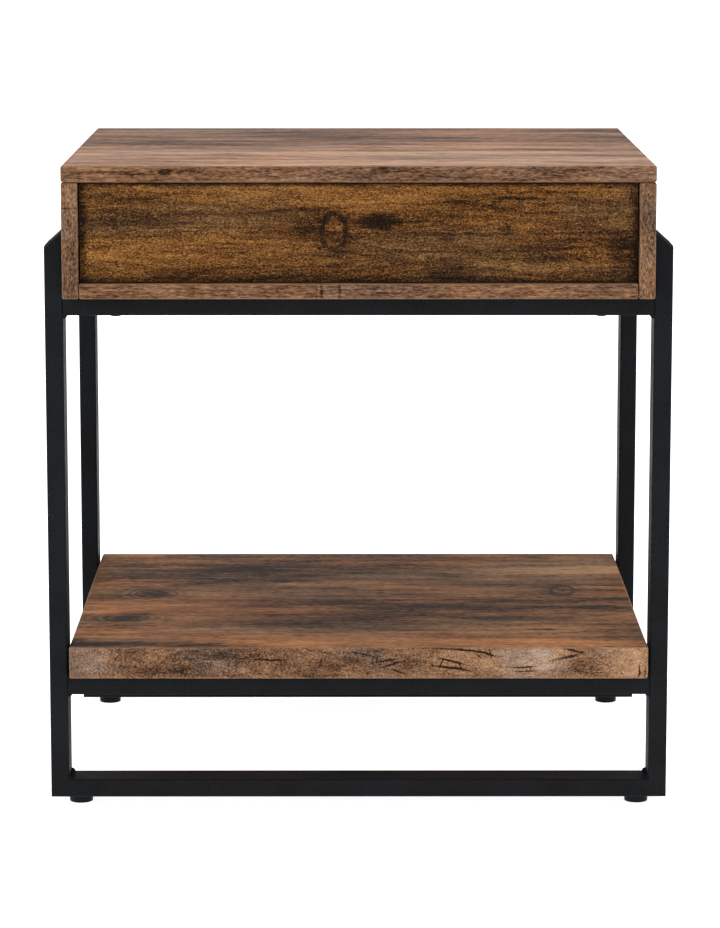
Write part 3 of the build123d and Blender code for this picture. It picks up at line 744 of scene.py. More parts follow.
@dataclass(frozen=True)
class PlainWood(Finish):
    """Turned beech, or melamine paper printed like it: straight pale grain with short darker flecks."""

    deep: str = "#8E6B49"
    middle: str = "#B08A63"
    pale: str = "#C9A57C"
    grain: Grain = Grain.WIDTH
    band: tuple[float, float] = (220.0, 14.0)
    fleck: tuple[float, float] = (7.0, 1.0)
    fleck_amount: float = 0.6
    tone_edges: tuple[float, float] = (0.95, 1.65)
    roughness: float = 0.5
    gloss: float = 0.3
    swing: Swing = Swing(0.3, 0.7, 0.1, -0.05)
    relief: Relief = Relief(0.25, 0.0001)

    def paint(self, tree: Tree, shader: bpy.types.Node, place: Socket) -> None:
        """Fills in the shader: soft bands, short flecks and a fine pore relief.

        Args:
            tree: The material's node tree.
            shader: Its Principled shader.
            place: The point on the object, in millimetres.
        """
        turned = add_node(
            tree, "ShaderNodeMapping", {"Vector": place, "Rotation": self.grain.value}
        ).outputs[0]
        narrow_band = (self.band[0] / 3, self.band[1] / 5)
        wide, narrow, flecks = (
            streaks(tree, turned, size, 2.0) for size in (self.band, narrow_band, self.fleck)
        )
        tone = add_node(tree, "ShaderNodeMath", {0: wide, 1: narrow}, operation="ADD").outputs[0]
        tone = add_node(
            tree, "ShaderNodeMath", {0: flecks, 1: self.fleck_amount, 2: tone}, operation="MULTIPLY_ADD"
        ).outputs[0]
        low, high = self.tone_edges
        spread = add_node(
            tree, "ShaderNodeMapRange", {"Value": tone, "From Min": low, "From Max": high}
        ).outputs[0]
        colour = add_node(
            tree,
            "ShaderNodeValToRGB",
            {"Fac": spread},
            stops=((0.0, self.deep), (1.0, self.pale), (0.5, self.middle)),
        ).outputs[0]
        values = {"IOR": RESIN_IOR, "Specular IOR Level": self.gloss}
        sheen = (flecks, self.roughness, self.swing)
        self.coat(tree, shader, colour, sheen, (flecks, self.relief), values)


BLACK_POWDER = PowderCoat("satin_black_polyester_powder_coat")
BLACK_NYLON = MouldedPlastic("moulded_black_polyethylene_glide", deep="#07080A", pale="#0F1012", gloss=0.1)
BLACK_CAP = MouldedPlastic("moulded_black_polyethylene_cap", deep="#0E0F10", pale="#191A1B")
GREY_ACETAL = MouldedPlastic("moulded_grey_acetal", deep="#7C7D80", pale="#8F9093", ior=1.48, roughness=0.42)
BRIGHT_ZINC = PlatedSteel("bright_zinc_plated_rolled_steel")
ZINC_SCREW = PlatedSteel("bright_zinc_plated_screw_steel", line=(0.9, 0.9), roughness=0.26)
BLACK_OXIDE = PlatedSteel(
    "black_oxide_bolt_steel", deep="#1B1C1D", pale="#2A2B2D", line=(0.8, 0.8), roughness=0.4
)
BEARING_STEEL = PlatedSteel(
    "polished_bearing_steel", deep="#BFC1C4", pale="#DADCDE", line=(3.0, 3.0), roughness=0.12
)
SPRING_STEEL = PlatedSteel("drawn_spring_steel_wire", deep="#85888C", pale="#A6A9AD", line=(0.7, 0.7))
BEECH = PlainWood(
    "fluted_beech_dowel", deep="#A87F54", middle="#C69E71", pale="#D9B88C", band=(60.0, 4.0), fleck=(3.0, 0.7)
)


# ---------------------------------------------------------------- the prints of each board

TOP_PRINT = WoodPrint(
    inks=("#37241A", "#604231", "#88644C", "#A37B61", "#B49073"),
    washed=("#36281F", "#584237", "#775D4D", "#947662", "#A88B74"),
    layers=(
        Layer(300.0, 70.0, 1.15, 3.0),
        Layer(150.0, 20.0, 0.65, 2.0),
        Layer(55.0, 13.0, 0.65, 2.0),
        Layer(140.0, 3.2, 0.6, 2.0),
        Layer(10.0, 2.2, 0.7, 1.0),
    ),
    marks=(
        Mark(-72, 51, 120, 11, 0.2, 0.8),
        Mark(-155, -165, 34, 10, 0.22, 0.8),
        Mark(-58, 184, 70, 16, 0.14, 0.9, MarkKind.EYE),
        Mark(120, 60, 110, 8, 0.14, 0.9),
        Mark(60, 120, 160, 22, 0.1, 0.9),
        Mark(170, -60, 130, 14, 0.08, 0.9),
        Mark(-40, -95, 210, 20, -0.12, 0.9),
        Mark(-190, 0, 90, 30, 0.22, 0.9),
        Mark(-215, -200, 70, 30, 0.06, 0.9),
        Mark(30, -205, 90, 24, -0.1, 0.9),
        Mark(130, 195, 150, 34, 0.16, 0.9),
        Mark(-10, 75, 300, 60, 0.16, 0.9),
        Mark(-30, 200, 260, 34, -0.11, 0.9),
        Mark(90, -95, 140, 24, -0.09, 0.9),
    ),
    rings=0.1,
    ring_size=(420.0, 90.0),
    pores=0.2,
    pore_size=(16.0, 3.2),
    wash_size=(300.0, 90.0),
    # Darker towards the back of the top.
    tone_slope=(0.0, -0.0008, 0.0),
    level=0.52,
    wobble=(16.0, 6.0, 4.0),
    wobble_size=60.0,
)
CASE_EDGE_PRINT = WoodPrint(
    inks=("#24160D", "#472F1E", "#654630", "#7A593F", "#8F6D51"),
    washed=("#231710", "#442F23", "#604635", "#745845", "#876D58"),
    layers=(
        Layer(90.0, 22.0, 0.83, 3.0),
        Layer(26.0, 2.2, 1.05, 2.0),
        Layer(5.0, 1.2, 1.35, 1.0),
    ),
    plane=Plane.UPRIGHT,
    marks=(
        Mark(-186, 630, 6, 3, 0.42, 0.5),
        Mark(25, 634, 6, 3, 0.3, 0.6),
        Mark(-240, 630, 22, 1.1, 0.22, 0.6),
        Mark(-214, 628, 16, 1.0, 0.2, 0.6),
        Mark(-36, 514, 1.3, 16, 0.42, 0.7),
        Mark(-41, 514, 1.0, 16, 0.14, 0.7),
        Mark(-18, 514, 1.2, 16, 0.36, 0.7),
        Mark(-28, 514, 7, 16, -0.06, 0.7),
        Mark(77, 509, 10, 1.6, 0.16, 0.8),
        Mark(262, 514, 9, 9, -0.12, 0.8),
        Mark(-262, 514, 9, 9, -0.06, 0.8),
        Mark(-287, 625, 18, 6, 0.18, 0.9),
        Mark(60, 629, 60, 8, 0.12, 0.9),
        Mark(292, 631, 16, 8, -0.14, 0.9),
        # Painted shade: dark lines along the top's lower arris over the drawer opening and beside the drawer
        # front's side gaps, where shadow falls.
        Mark(0, 619.8, 900, 1.3, 0.5, 0.5),
        Mark(-271, 514, 1.6, 40, 0.5, 0.5),
        Mark(271, 514, 1.6, 40, 0.5, 0.5),
    ),
    rings=0.08,
    ring_size=(70.0, 9.0),
    pores=0.16,
    pore_size=(3.0, 1.1),
    wash_size=(70.0, 30.0),
    wobble=(4.0, 1.6, 1.6),
    wobble_size=11.0,
)
SIDE_EDGE_PRINT = WoodPrint(
    inks=("#281A11", "#483223", "#634732", "#785940", "#8D6E53"),
    washed=("#251B14", "#433228", "#5C4738", "#705947", "#846E5C"),
    layers=(
        Layer(50.0, 20.0, 0.84, 3.0),
        Layer(9.0, 3.0, 0.7, 2.0),
        Layer(3.6, 1.3, 1.69, 1.0),
    ),
    plane=Plane.UPRIGHT,
    marks=(
        Mark(-278.5, 595, 12, 0.9, 0.4, 0.6),
        Mark(-278.5, 608, 12, 12, -0.14, 0.5),
        Mark(-278.5, 538, 12, 16, 0.1, 0.8),
        Mark(-278.5, 522, 14, 3, 0.14, 0.8),
        # Painted shade: a dark line under the top and dark lines at the gaps beside the drawer front, where
        # shadow falls.
        Mark(0, 620, 900, 1.3, 0.5, 0.5),
        Mark(-270, 514, 1.4, 9, 0.5, 0.5),
        Mark(270, 514, 1.4, 9, 0.5, 0.5),
    ),
    rings=0.05,
    ring_size=(30.0, 12.0),
    pores=0.16,
    pore_size=(2.2, 1.4),
    wash_size=(40.0, 30.0),
    wobble=(4.0, 3.0, 3.0),
    wobble_size=9.0,
)
CASE_FACE_PRINT = WoodPrint(
    inks=("#291A10", "#4B3423", "#694B35", "#7F5E44", "#947356"),
    washed=("#281C14", "#493629", "#644D3D", "#78604D", "#8C735F"),
    layers=(
        Layer(320.0, 30.0, 1.0, 3.0),
        Layer(100.0, 7.0, 0.7, 3.0),
        Layer(14.0, 1.8, 0.45, 2.0),
    ),
    plane=Plane.UPRIGHT,
    rings=0.16,
    pores=0.3,
)
DRAWER_PRINT = WoodPrint(
    inks=("#120902", "#341E09", "#593819", "#774F25", "#936736"),
    washed=("#130C06", "#321F10", "#50361D", "#6C4E2C", "#87653E"),
    layers=(
        Layer(230.0, 19.0, 0.95, 3.0),
        Layer(70.0, 4.2, 0.55, 3.0),
        Layer(9.0, 1.4, 0.75, 2.0),
        Layer(1.8, 1.1, 1.65, 1.0),
    ),
    plane=Plane.UPRIGHT,
    marks=(
        Mark(-24, 572, 13, 18.5, 0.36, 0.3, MarkKind.RING_KNOT),
        Mark(-50, 573, 12, 9, 0.2, 0.8),
        Mark(-57, 590, 27, 5, 0.16, 0.8),
        Mark(21, 581, 17, 7, 0.36, 0.7),
        Mark(142, 575, 7, 5, 0.26, 0.6),
        Mark(94, 600, 12, 1.8, 0.36, 0.5),
        Mark(155, 604, 21, 1.5, 0.34, 0.5),
        Mark(88, 534, 17, 9, 0.24, 0.8),
        Mark(179, 553, 27, 8, 0.16, 0.9),
        Mark(251, 557, 11, 9, 0.2, 0.9),
        Mark(86, 566, 6, 5, 0.14, 0.8),
        Mark(-133, 575.6, 70, 0.9, 0.16, 0.6),
        Mark(125, 570.2, 125, 0.9, 0.16, 0.6),
        Mark(110, 590, 70, 6, 0.12, 0.9),
        Mark(-197, 551, 68, 6, -0.13, 0.9),
        Mark(-15, 534, 150, 9, 0.16, 0.9),
        Mark(20, 609, 180, 8, -0.14, 0.9),
        Mark(165, 535, 32, 8, -0.1, 0.9),
        Mark(-218, 604, 34, 4, 0.12, 0.8),
        Mark(-225, 585, 40, 8, 0.14, 0.9),
        Mark(258, 542, 12, 26, 0.14, 0.9),
        Mark(-225, 603, 60, 14, 0.13, 0.9),
        Mark(25, 597, 75, 10, -0.17, 0.9),
        Mark(-120, 584, 50, 9, -0.1, 0.9),
        Mark(-225, 570, 55, 8, 0.13, 0.9),
        Mark(20, 548, 50, 13, 0.12, 0.9),
        Mark(150, 552, 60, 10, 0.07, 0.9),
        Mark(-35, 528, 120, 8, 0.12, 0.9),
        # Painted shade along the bottom edge of the recessed drawer front.
        Mark(0, 524, 400, 4, 0.28, 0.9),
        Mark(195, 575, 90, 40, 0.07, 0.9),
        # Painted shade in the recess: a shadow band under the top, and darker bands at the left and right
        # edges of the drawer front.
        Mark(0, 618.5, 400, 2.2, 0.4, 0.8),
        Mark(-269, 570, 5, 80, 0.4, 0.9),
        Mark(269, 570, 5, 80, 0.36, 0.9),
    ),
    rings=0.1,
    ring_size=(260.0, 26.0),
    ring_count=8.0,
    pores=0.1,
    pore_size=(5.0, 1.3),
    wash_size=(200.0, 34.0),
    wobble=(10.0, 3.0, 3.0),
    wobble_size=15.0,
)
SHELF_PRINT = WoodPrint(
    inks=("#261509", "#53331B", "#825432", "#A0693F", "#BD8151"),
    washed=("#26190E", "#4B3422", "#705137", "#8B6749", "#A8815C"),
    layers=(
        Layer(210.0, 66.0, 1.6, 3.0),
        Layer(110.0, 20.0, 0.8, 3.0),
        Layer(60.0, 7.0, 0.55, 2.0),
        Layer(120.0, 2.4, 0.4, 2.0),
        Layer(7.0, 2.2, 0.7, 1.0),
    ),
    marks=(
        Mark(-238, -105, 26, 22, 0.65, 0.7, MarkKind.EYE),
        Mark(-212, 18, 24, 26, 0.7, 0.7, MarkKind.EYE),
        Mark(217, 37, 14, 26, 0.34, 0.3, MarkKind.RING_KNOT),
        Mark(-205, -80, 60, 10, 0.2, 0.9),
        Mark(-138, 89, 15, 6, 0.3, 0.8),
        Mark(-80, 88, 28, 7, 0.26, 0.8),
        Mark(-65, -138, 38, 12, 0.24, 0.8),
        Mark(-136, -183, 44, 7, 0.24, 0.8),
        Mark(-138, -238, 44, 8, 0.3, 0.8),
        Mark(-266, -230, 24, 12, 0.28, 0.8),
        Mark(-252, 172, 30, 10, 0.2, 0.8),
        Mark(49, -96, 52, 10, 0.2, 0.9),
        Mark(140, -52, 70, 16, 0.18, 0.9),
        Mark(255, -52, 26, 10, 0.32, 0.8),
        Mark(186, -162, 18, 6, 0.3, 0.6),
        Mark(190, 145, 100, 24, -0.34, 0.9),
        Mark(-100, 115, 110, 46, 0.18, 0.9),
        Mark(-170, 0, 60, 30, -0.2, 0.9),
        Mark(30, 12, 300, 46, 0.14, 0.9),
        Mark(90, -66, 150, 26, 0.14, 0.9),
        Mark(0, -130, 90, 24, 0.12, 0.9),
        Mark(-60, -185, 280, 44, -0.12, 0.9),
        Mark(-245, -200, 36, 20, -0.18, 0.9),
    ),
    rings=0.12,
    ring_size=(380.0, 80.0),
    pores=0.25,
    pore_size=(14.0, 3.0),
    wash_size=(260.0, 80.0),
    # Slightly darker towards the back of the shelf.
    tone_slope=(0.0, -0.0001, 0.0),
    wobble=(16.0, 6.0, 4.0),
    wobble_size=50.0,
)
SHELF_EDGE_PRINT = WoodPrint(
    inks=("#23150D", "#4C3525", "#75553E", "#906E51", "#A9896B"),
    washed=("#231A14", "#48372C", "#695344", "#826B5C", "#9A8474"),
    layers=(
        Layer(55.0, 22.0, 0.9, 3.0),
        Layer(16.0, 5.0, 0.68, 3.0),
        Layer(2.0, 1.3, 1.2, 1.0),
    ),
    plane=Plane.UPRIGHT,
    marks=(
        Mark(-140, 155, 36, 6, 0.24, 0.8),
        Mark(-175, 136, 13, 6, 0.24, 0.8),
        Mark(-206, 136, 12, 6, 0.16, 0.8),
        Mark(-150, 147.5, 17, 0.9, -0.22, 0.7),
        Mark(-166, 153, 10, 1.2, -0.16, 0.7),
        Mark(-114, 139.5, 5, 2.2, -0.24, 0.7),
        Mark(-262, 145, 16, 14, -0.1, 0.9),
        Mark(-232, 150, 14, 8, 0.1, 0.9),
        Mark(-87, 149, 15, 0.91, 0.43, 0.6, tilt=-2),
        Mark(12, 152, 50, 9, 0.13, 0.9),
        Mark(225, 145, 18, 15, 0.28, 0.9),
        Mark(130, 152, 40, 8, -0.16, 0.9),
        Mark(185, 150, 20, 14, -0.3, 0.9),
        Mark(272, 146, 16, 18, -0.24, 0.8),
        Mark(-70, 141, 75, 11, 0.16, 0.9),
        Mark(18, 147, 16, 7, -0.2, 0.9),
        Mark(72, 142, 40, 9, 0.15, 0.9),
        Mark(75, 161, 22, 0.78, 0.72, 0.6, tilt=-4),
        Mark(108, 158.5, 13, 0.91, 0.87, 0.6, tilt=-7),
        Mark(126, 155.5, 8, 0.91, 0.87, 0.6, tilt=-20),
        Mark(129.5, 155, 5, 0.65, 0.72, 0.6, tilt=-74),
        Mark(117, 153.5, 4, 0.65, 0.58, 0.6, tilt=-32),
        Mark(93, 147.3, 11, 0.91, 0.87, 0.6, tilt=-15),
        Mark(92, 141, 16, 1.04, 0.87, 0.6, tilt=-8),
        Mark(82, 146.5, 4.5, 0.65, 0.58, 0.6, tilt=68),
        Mark(100, 143.5, 4, 0.65, 0.58, 0.6, tilt=-60),
        Mark(32, 144.5, 10, 0.78, 0.72, 0.6, tilt=18),
        Mark(27, 148.5, 9, 0.78, 0.65, 0.6, tilt=11),
        Mark(18, 149.5, 4, 0.65, 0.58, 0.6, tilt=80),
        Mark(4, 155, 10, 0.65, 0.51, 0.6, tilt=-14),
        Mark(40, 137, 9, 0.65, 0.51, 0.6, tilt=-18),
        Mark(162, 142, 9, 0.78, 0.8, 0.6, tilt=2),
        Mark(163, 137.7, 10, 0.7, 0.6, 0.6),
        Mark(169, 140.5, 2.2, 0.65, 0.58, 0.6, tilt=82),
        Mark(211, 158.5, 9, 1.04, 0.65, 0.7, tilt=-12),
        Mark(204, 151.5, 12, 1.17, 0.58, 0.7, tilt=13),
        Mark(276, 138, 6, 0.91, 0.72, 0.6, tilt=86),
        Mark(282, 137, 6, 0.78, 0.43, 0.6, tilt=84),
    ),
    rings=0.05,
    ring_size=(60.0, 14.0),
    pores=0.22,
    pore_size=(1.9, 1.3),
    wash_size=(70.0, 40.0),
    # Slightly paler towards the right of the shelf's front edge.
    tone_slope=(0.00025, 0.0, 0.0),
    wobble=(4.0, 2.6, 2.6),
    wobble_size=9.0,
)

TOP_BOARD = FoilBoard("tabletop_woodgrain_foil", TOP_PRINT, CASE_EDGE_PRINT, 2)
BOTTOM_BOARD = FoilBoard(
    "case_bottom_woodgrain_foil", CASE_FACE_PRINT, CASE_EDGE_PRINT, 2, shift=(410.0, 95.0, 60.0)
)
SIDE_BOARD = FoilBoard(
    "case_side_woodgrain_foil",
    CASE_FACE_PRINT,
    SIDE_EDGE_PRINT,
    0,
    shift=(137.0, 211.0, 40.0),
    face_grain=Grain.DEPTH,
    edge_grain=Grain.HEIGHT,
)
BACK_BOARD = FoilBoard(
    "case_back_woodgrain_foil", CASE_FACE_PRINT, SIDE_EDGE_PRINT, 1, shift=(713.0, 320.0, 150.0)
)
DRAWER_FRONT_BOARD = FoilBoard(
    "drawer_front_golden_woodgrain_foil",
    DRAWER_PRINT,
    replace(DRAWER_PRINT, marks=()),
    1,
    shift=(57.0, 83.0, 19.0),
    arris_wear_and_highlight="#6A4727",
)
SHELF_BOARD = FoilBoard("shelf_woodgrain_foil", SHELF_PRINT, SHELF_EDGE_PRINT, 2, shift=(290.0, 510.0, 330.0))
DRAWER_BOX_LENGTHWAYS = PlainWood(
    "melamine_drawer_side", deep="#8A6B4C", middle="#A5825D", pale="#BC9870", grain=Grain.DEPTH
)
DRAWER_BOX_CROSSWAYS = PlainWood("melamine_drawer_back", deep="#8A6B4C", middle="#A5825D", pale="#BC9870")


# ---------------------------------------------------------------- work at the bench

# Corners nearer than this, in metres, are one corner.
TOUCHING = 0.000001
# Past this share of its normal along an axis, a face looks that way.
SQUARE_ON = 0.9
# A face larger than this, in square metres, is an end of a round piece and not a facet.
BROAD = 0.0001


def clear_selection() -> None:
    """Leaves nothing selected, so that an operator acts only on what is made next."""
    bpy.ops.object.select_all(action="DESELECT")


def pick_up(piece: Piece) -> None:
    """Selects one piece alone and makes it the active one.

    Args:
        piece: The piece.
    """
    clear_selection()
    piece.select_set(True)
    bpy.context.view_layer.objects.active = piece


def choose(piece: Piece, wanted: Callable[[bmesh.types.BMFace], bool]) -> None:
    """Selects the faces of a piece in edit mode that a test picks out.

    Args:
        piece: The piece being edited.
        wanted: The test, given each face.
    """
    bpy.ops.mesh.select_mode(type="FACE")
    bpy.ops.mesh.select_all(action="DESELECT")
    mesh = bmesh.from_edit_mesh(piece.data)
    for face in mesh.faces:
        face.select_set(wanted(face))
    mesh.select_flush_mode()
    bmesh.update_edit_mesh(piece.data)


def choose_edges(piece: Piece, wanted: Callable[[bmesh.types.BMEdge], bool]) -> None:
    """Selects the edges of a piece in edit mode that a test picks out.

    Args:
        piece: The piece being edited.
        wanted: The test, given each edge.
    """
    bpy.ops.mesh.select_mode(type="EDGE")
    bpy.ops.mesh.select_all(action="DESELECT")
    mesh = bmesh.from_edit_mesh(piece.data)
    for edge in mesh.edges:
        edge.select_set(wanted(edge))
    mesh.select_flush_mode()
    bmesh.update_edit_mesh(piece.data)


def looks_down(face: bmesh.types.BMFace) -> bool:
    """Tells whether a face looks straight down."""
    return face.normal.z < -SQUARE_ON


def draw_in(share: float, axis: int = 2) -> None:
    """Scales what is selected towards the line through the origin along an axis.

    Args:
        share: The new size over the old one.
        axis: The axis along which nothing changes.
    """
    sizes = [share, share, share]
    sizes[axis] = 1.0
    bpy.ops.transform.resize(value=sizes, center_override=(0, 0, 0))


def draw_out(length: float, share: float, axis: int = 2) -> None:
    """Extrudes what is selected along an axis and scales its new end.

    Args:
        length: How far it goes, in metres.
        share: The new end's size over the old one.
        axis: The axis it goes along.
    """
    move = [0.0, 0.0, 0.0]
    move[axis] = length
    bpy.ops.mesh.extrude_region_move(TRANSFORM_OT_translate={"value": move})
    draw_in(share, axis)


def start_round(radius: float, height: float, middle: tuple[float, float, float], corners: int) -> Piece:
    """Adds an upright round blank and opens it in edit mode.

    Args:
        radius: Its radius in millimetres.
        height: Its height in millimetres.
        middle: Its middle in millimetres.
        corners: The number of its sides.

    Returns:
        The blank.
    """
    clear_selection()
    bpy.ops.mesh.primitive_cylinder_add(
        vertices=corners, radius=radius * MM, depth=height * MM, location=Vector(middle) * MM
    )
    piece = bpy.context.active_object
    bpy.ops.object.mode_set(mode="EDIT")
    return piece


def finish_shape(piece: Piece, angle: float) -> Piece:
    """Closes edit mode, fixes the place in the mesh and smooths all but the sharp edges.

    Args:
        piece: The piece.
        angle: The angle in degrees past which an edge stays sharp.

    Returns:
        The same piece.
    """
    if bpy.context.mode != "OBJECT":
        bpy.ops.object.mode_set(mode="OBJECT")
    pick_up(piece)
    bpy.ops.object.transform_apply(location=True, rotation=True, scale=True)
    bpy.ops.object.shade_smooth_by_angle(angle=math.radians(angle))
    return piece


def put_right(piece: Piece) -> None:
    """Merges doubles and turns all faces outwards, after a mirror.

    Args:
        piece: The piece.
    """
    pick_up(piece)
    bpy.ops.object.mode_set(mode="EDIT")
    bpy.ops.mesh.select_all(action="SELECT")
    bpy.ops.mesh.remove_doubles(threshold=2 * TOUCHING)
    bpy.ops.mesh.normals_make_consistent(inside=False)
    bpy.ops.object.mode_set(mode="OBJECT")


def repeat(master: Piece, places: list[Matrix], name: str) -> Piece:
    """Copies a finished shape to every place, each copy with its own mesh, and joins them.

    Args:
        master: The shape, modelled about the origin. It is used up.
        places: Where each copy goes.
        name: The name of the joined piece.

    Returns:
        The joined piece.
    """
    copies = []
    for place in places:
        twin = master.copy()
        twin.data = master.data.copy()
        twin.data.transform(place)
        bpy.context.collection.objects.link(twin)
        copies.append(twin)
    bpy.data.objects.remove(master, do_unlink=True)
    clear_selection()
    for twin in copies:
        twin.select_set(True)
    joined = copies[0]
    bpy.context.view_layer.objects.active = joined
    if len(copies) > 1:
        bpy.ops.object.join()
    joined.name = name
    joined.data.name = name
    return joined


def hand_over(piece: Piece, finish: Finish, body: str, node: str) -> None:
    """Gives a piece its finish, its body and the node that it stands for.

    Args:
        piece: The piece.
        finish: Its finish.
        body: The body it rides on.
        node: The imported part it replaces.
    """
    piece.data.materials.clear()
    piece.data.materials.append(finish.material())
    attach(piece, body)
    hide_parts(node)
    log.info("built %s, %d faces, riding on %s", piece.name, len(piece.data.polygons), body)


def dress(finish: Finish, *nodes: str) -> None:
    """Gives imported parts, which keep their shape, a finish.

    Args:
        finish: The finish.
        nodes: The parts' names.
    """
    made = finish.material()
    for name in nodes:
        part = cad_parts[name]
        if not part.material_slots:
            part.data.materials.append(made)
        for holder in part.material_slots:
            holder.material = made
        log.info("dressed %s in %s", name, finish.name)


def off_line(point: Vector, middle: Vector, axis: int) -> float:
    """Measures how far a point lies from the line through a middle along an axis.

    Args:
        point: The point.
        middle: A point on the line.
        axis: The axis the line runs along.

    Returns:
        The distance.
    """
    return math.hypot(*(point[a] - middle[a] for a in ((axis + 1) % 3, (axis + 2) % 3)))


@dataclass(frozen=True)
class Spot:
    """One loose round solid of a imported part, in millimetres.

    It has its box, the axis it lies along, the way its wide end looks on that axis, and that end's radius.
    """

    low: Vector
    high: Vector
    axis: int
    way: float
    radius: float

    def length(self) -> float:
        """Gives the length along its axis."""
        return self.high[self.axis] - self.low[self.axis]

    def aim(self) -> Matrix:
        """Gives the move that brings a shape here whose wide end is at the origin and looks up.

        Returns:
            The move.
        """
        tip = (self.low + self.high) / 2
        tip[self.axis] = self.high[self.axis] if self.way > 0 else self.low[self.axis]
        looks = Vector((0, 0, 0))
        looks[self.axis] = self.way
        turn = Vector((0, 0, 1)).rotation_difference(looks).to_matrix().to_4x4()
        return Matrix.Translation(tip * MM) @ turn


def measure(points: list[Vector]) -> Spot:
    """Measures one loose round solid.

    Args:
        points: Its corners in millimetres.

    Returns:
        The solid's spot.
    """
    rim = 0.05
    low = Vector([min(p[axis] for p in points) for axis in range(3)])
    high = Vector([max(p[axis] for p in points) for axis in range(3)])
    middle = (low + high) / 2
    size = high - low
    axis = min(range(3), key=lambda a: abs(size[(a + 1) % 3] - size[(a + 2) % 3]))
    reach = [(off_line(p, middle, axis), p[axis]) for p in points]
    widest = max(r for r, _ in reach)
    wide = [place for r, place in reach if r > widest - rim]
    way = 1.0 if sum(wide) / len(wide) > middle[axis] else -1.0
    return Spot(low, high, axis, way, widest)


def spots(node: str) -> list[Spot]:
    """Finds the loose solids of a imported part.

    Args:
        node: The part's name.

    Returns:
        Their spots, in the order of their middles.
    """
    copy = bmesh.new()
    copy.from_mesh(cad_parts[node].data)
    bmesh.ops.remove_doubles(copy, verts=copy.verts, dist=TOUCHING)
    left = set(copy.verts)
    found = []
    while left:
        reached = {left.pop()}
        waiting = list(reached)
        while waiting:
            vert = waiting.pop()
            for edge in vert.link_edges:
                other = edge.other_vert(vert)
                if other in left:
                    left.discard(other)
                    reached.add(other)
                    waiting.append(other)
        found.append(measure([vert.co / MM for vert in reached]))
    copy.free()
    return sorted(found, key=lambda spot: tuple(round(v, 2) for v in (spot.low + spot.high) / 2))


# ---------------------------------------------------------------- hardware shared by the sub-assemblies


class Recess(Enum):
    """The tool mark in the head of a bolt or screw."""

    HEX = "hex"
    CROSS = "cross"


@dataclass(frozen=True)
class HeadedFixings:
    """A set of equal bolts or screws, with domed heads, tool recesses and threads.

    Sizes are millimetres and the crease, past which an edge stays sharp, is degrees. The shares are those of
    the head's height and radius that the dome takes, of the shank at the root of its thread and at its
    point, and of the cross that its blade and its foot take.
    """

    node: str
    slot: str
    body: str
    finish: Finish
    recess: Recess
    head_height: float
    recess_size: float
    recess_depth: float
    pitch: float = 1.0
    dome_height: float = 0.72
    dome_reach: float = 0.4
    root: float = 0.86
    point: float = 0.7
    blade: float = 0.22
    blade_foot: float = 0.45
    corners: int = 32
    dome_steps: int = 5
    crease: float = 35.0

    def build(self) -> None:
        """Models one fixing with its head at the origin, and copies it to each place."""
        found = spots(self.node)
        first = found[0]
        piece = start_round(first.radius, self.head_height, (0, 0, -self.head_height / 2), self.corners)
        choose_edges(piece, lambda edge: all(v.co.z > 0 for v in edge.verts))
        dome = min(self.head_height * self.dome_height, first.radius * self.dome_reach)
        bpy.ops.mesh.bevel(offset=dome * MM, segments=self.dome_steps, affect="EDGES")
        choose(piece, looks_down)
        bpy.ops.mesh.inset(thickness=(first.radius - self.shank_radius(first)) * MM)
        shank = first.length() - self.head_height
        turns = max(2, int(shank / self.pitch))
        for _ in range(turns):
            for share in (self.root, 1 / self.root):
                draw_out(-shank / turns / 2 * MM, share)
        draw_in(self.point)
        bpy.ops.object.mode_set(mode="OBJECT")
        self.cut_recess(piece)
        finish_shape(piece, self.crease)
        joined = repeat(piece, [spot.aim() for spot in found], self.node + "_detailed")
        hand_over(joined, self.finish, self.body, self.node)

    def shank_radius(self, spot: Spot) -> float:
        """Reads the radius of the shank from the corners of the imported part.

        Args:
            spot: The fixing to read.

        Returns:
            The radius in millimetres, or half the head's where there is none.
        """
        slack = 0.01
        least = 0.4
        middle = (spot.low + spot.high) / 2
        reach = set()
        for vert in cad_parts[self.node].data.vertices:
            point = vert.co / MM
            if all(spot.low[a] - slack <= point[a] <= spot.high[a] + slack for a in range(3)):
                reach.add(round(off_line(point, middle, spot.axis), 2))
        return min((value for value in reach if value > least), default=spot.radius * 0.5)

    def cutters(self) -> list[Piece]:
        """Makes the hex or the two blades of the cross that sink the recess.

        Returns:
            The cutters.
        """
        deep = 2 * self.recess_depth * MM
        if self.recess is Recess.HEX:
            clear_selection()
            to_corner = self.recess_size / math.sqrt(3) * MM
            bpy.ops.mesh.primitive_cylinder_add(
                vertices=6, radius=to_corner, depth=deep, location=(0, 0, 0)
            )
            return [bpy.context.active_object]
        made = []
        for turn in (0.0, math.pi / 2):
            clear_selection()
            bpy.ops.mesh.primitive_cube_add(size=1.0, location=(0, 0, 0), rotation=(0, 0, turn))
            blade = bpy.context.active_object
            blade.scale = (self.recess_size * MM, self.recess_size * self.blade * MM, deep)
            bpy.ops.object.transform_apply(location=True, rotation=True, scale=True)
            bpy.ops.object.mode_set(mode="EDIT")
            choose(blade, looks_down)
            draw_in(self.blade_foot)
            bpy.ops.object.mode_set(mode="OBJECT")
            made.append(blade)
        return made

    def cut_recess(self, piece: Piece) -> None:
        """Sinks the hex socket or the cross into the head.

        Args:
            piece: The fixing, its head's top at the origin.
        """
        for cutter in self.cutters():
            pick_up(piece)
            cut = piece.modifiers.new("recess", "BOOLEAN")
            cut.operation = "DIFFERENCE"
            cut.solver = "EXACT"
            cut.object = cutter
            bpy.ops.object.modifier_apply(modifier=cut.name)
            bpy.data.objects.remove(cutter, do_unlink=True)


def button_bolts(node: str) -> HeadedFixings:
    """Gives a set of M6 button-head bolts with hex sockets.

    Args:
        node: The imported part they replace.

    Returns:
        The set.
    """
    return HeadedFixings(
        node,
        "black_bolt_steel",
        "table",
        BLACK_OXIDE,
        Recess.HEX,
        head_height=2.6,
        recess_size=4.0,
        recess_depth=1.5,
    )


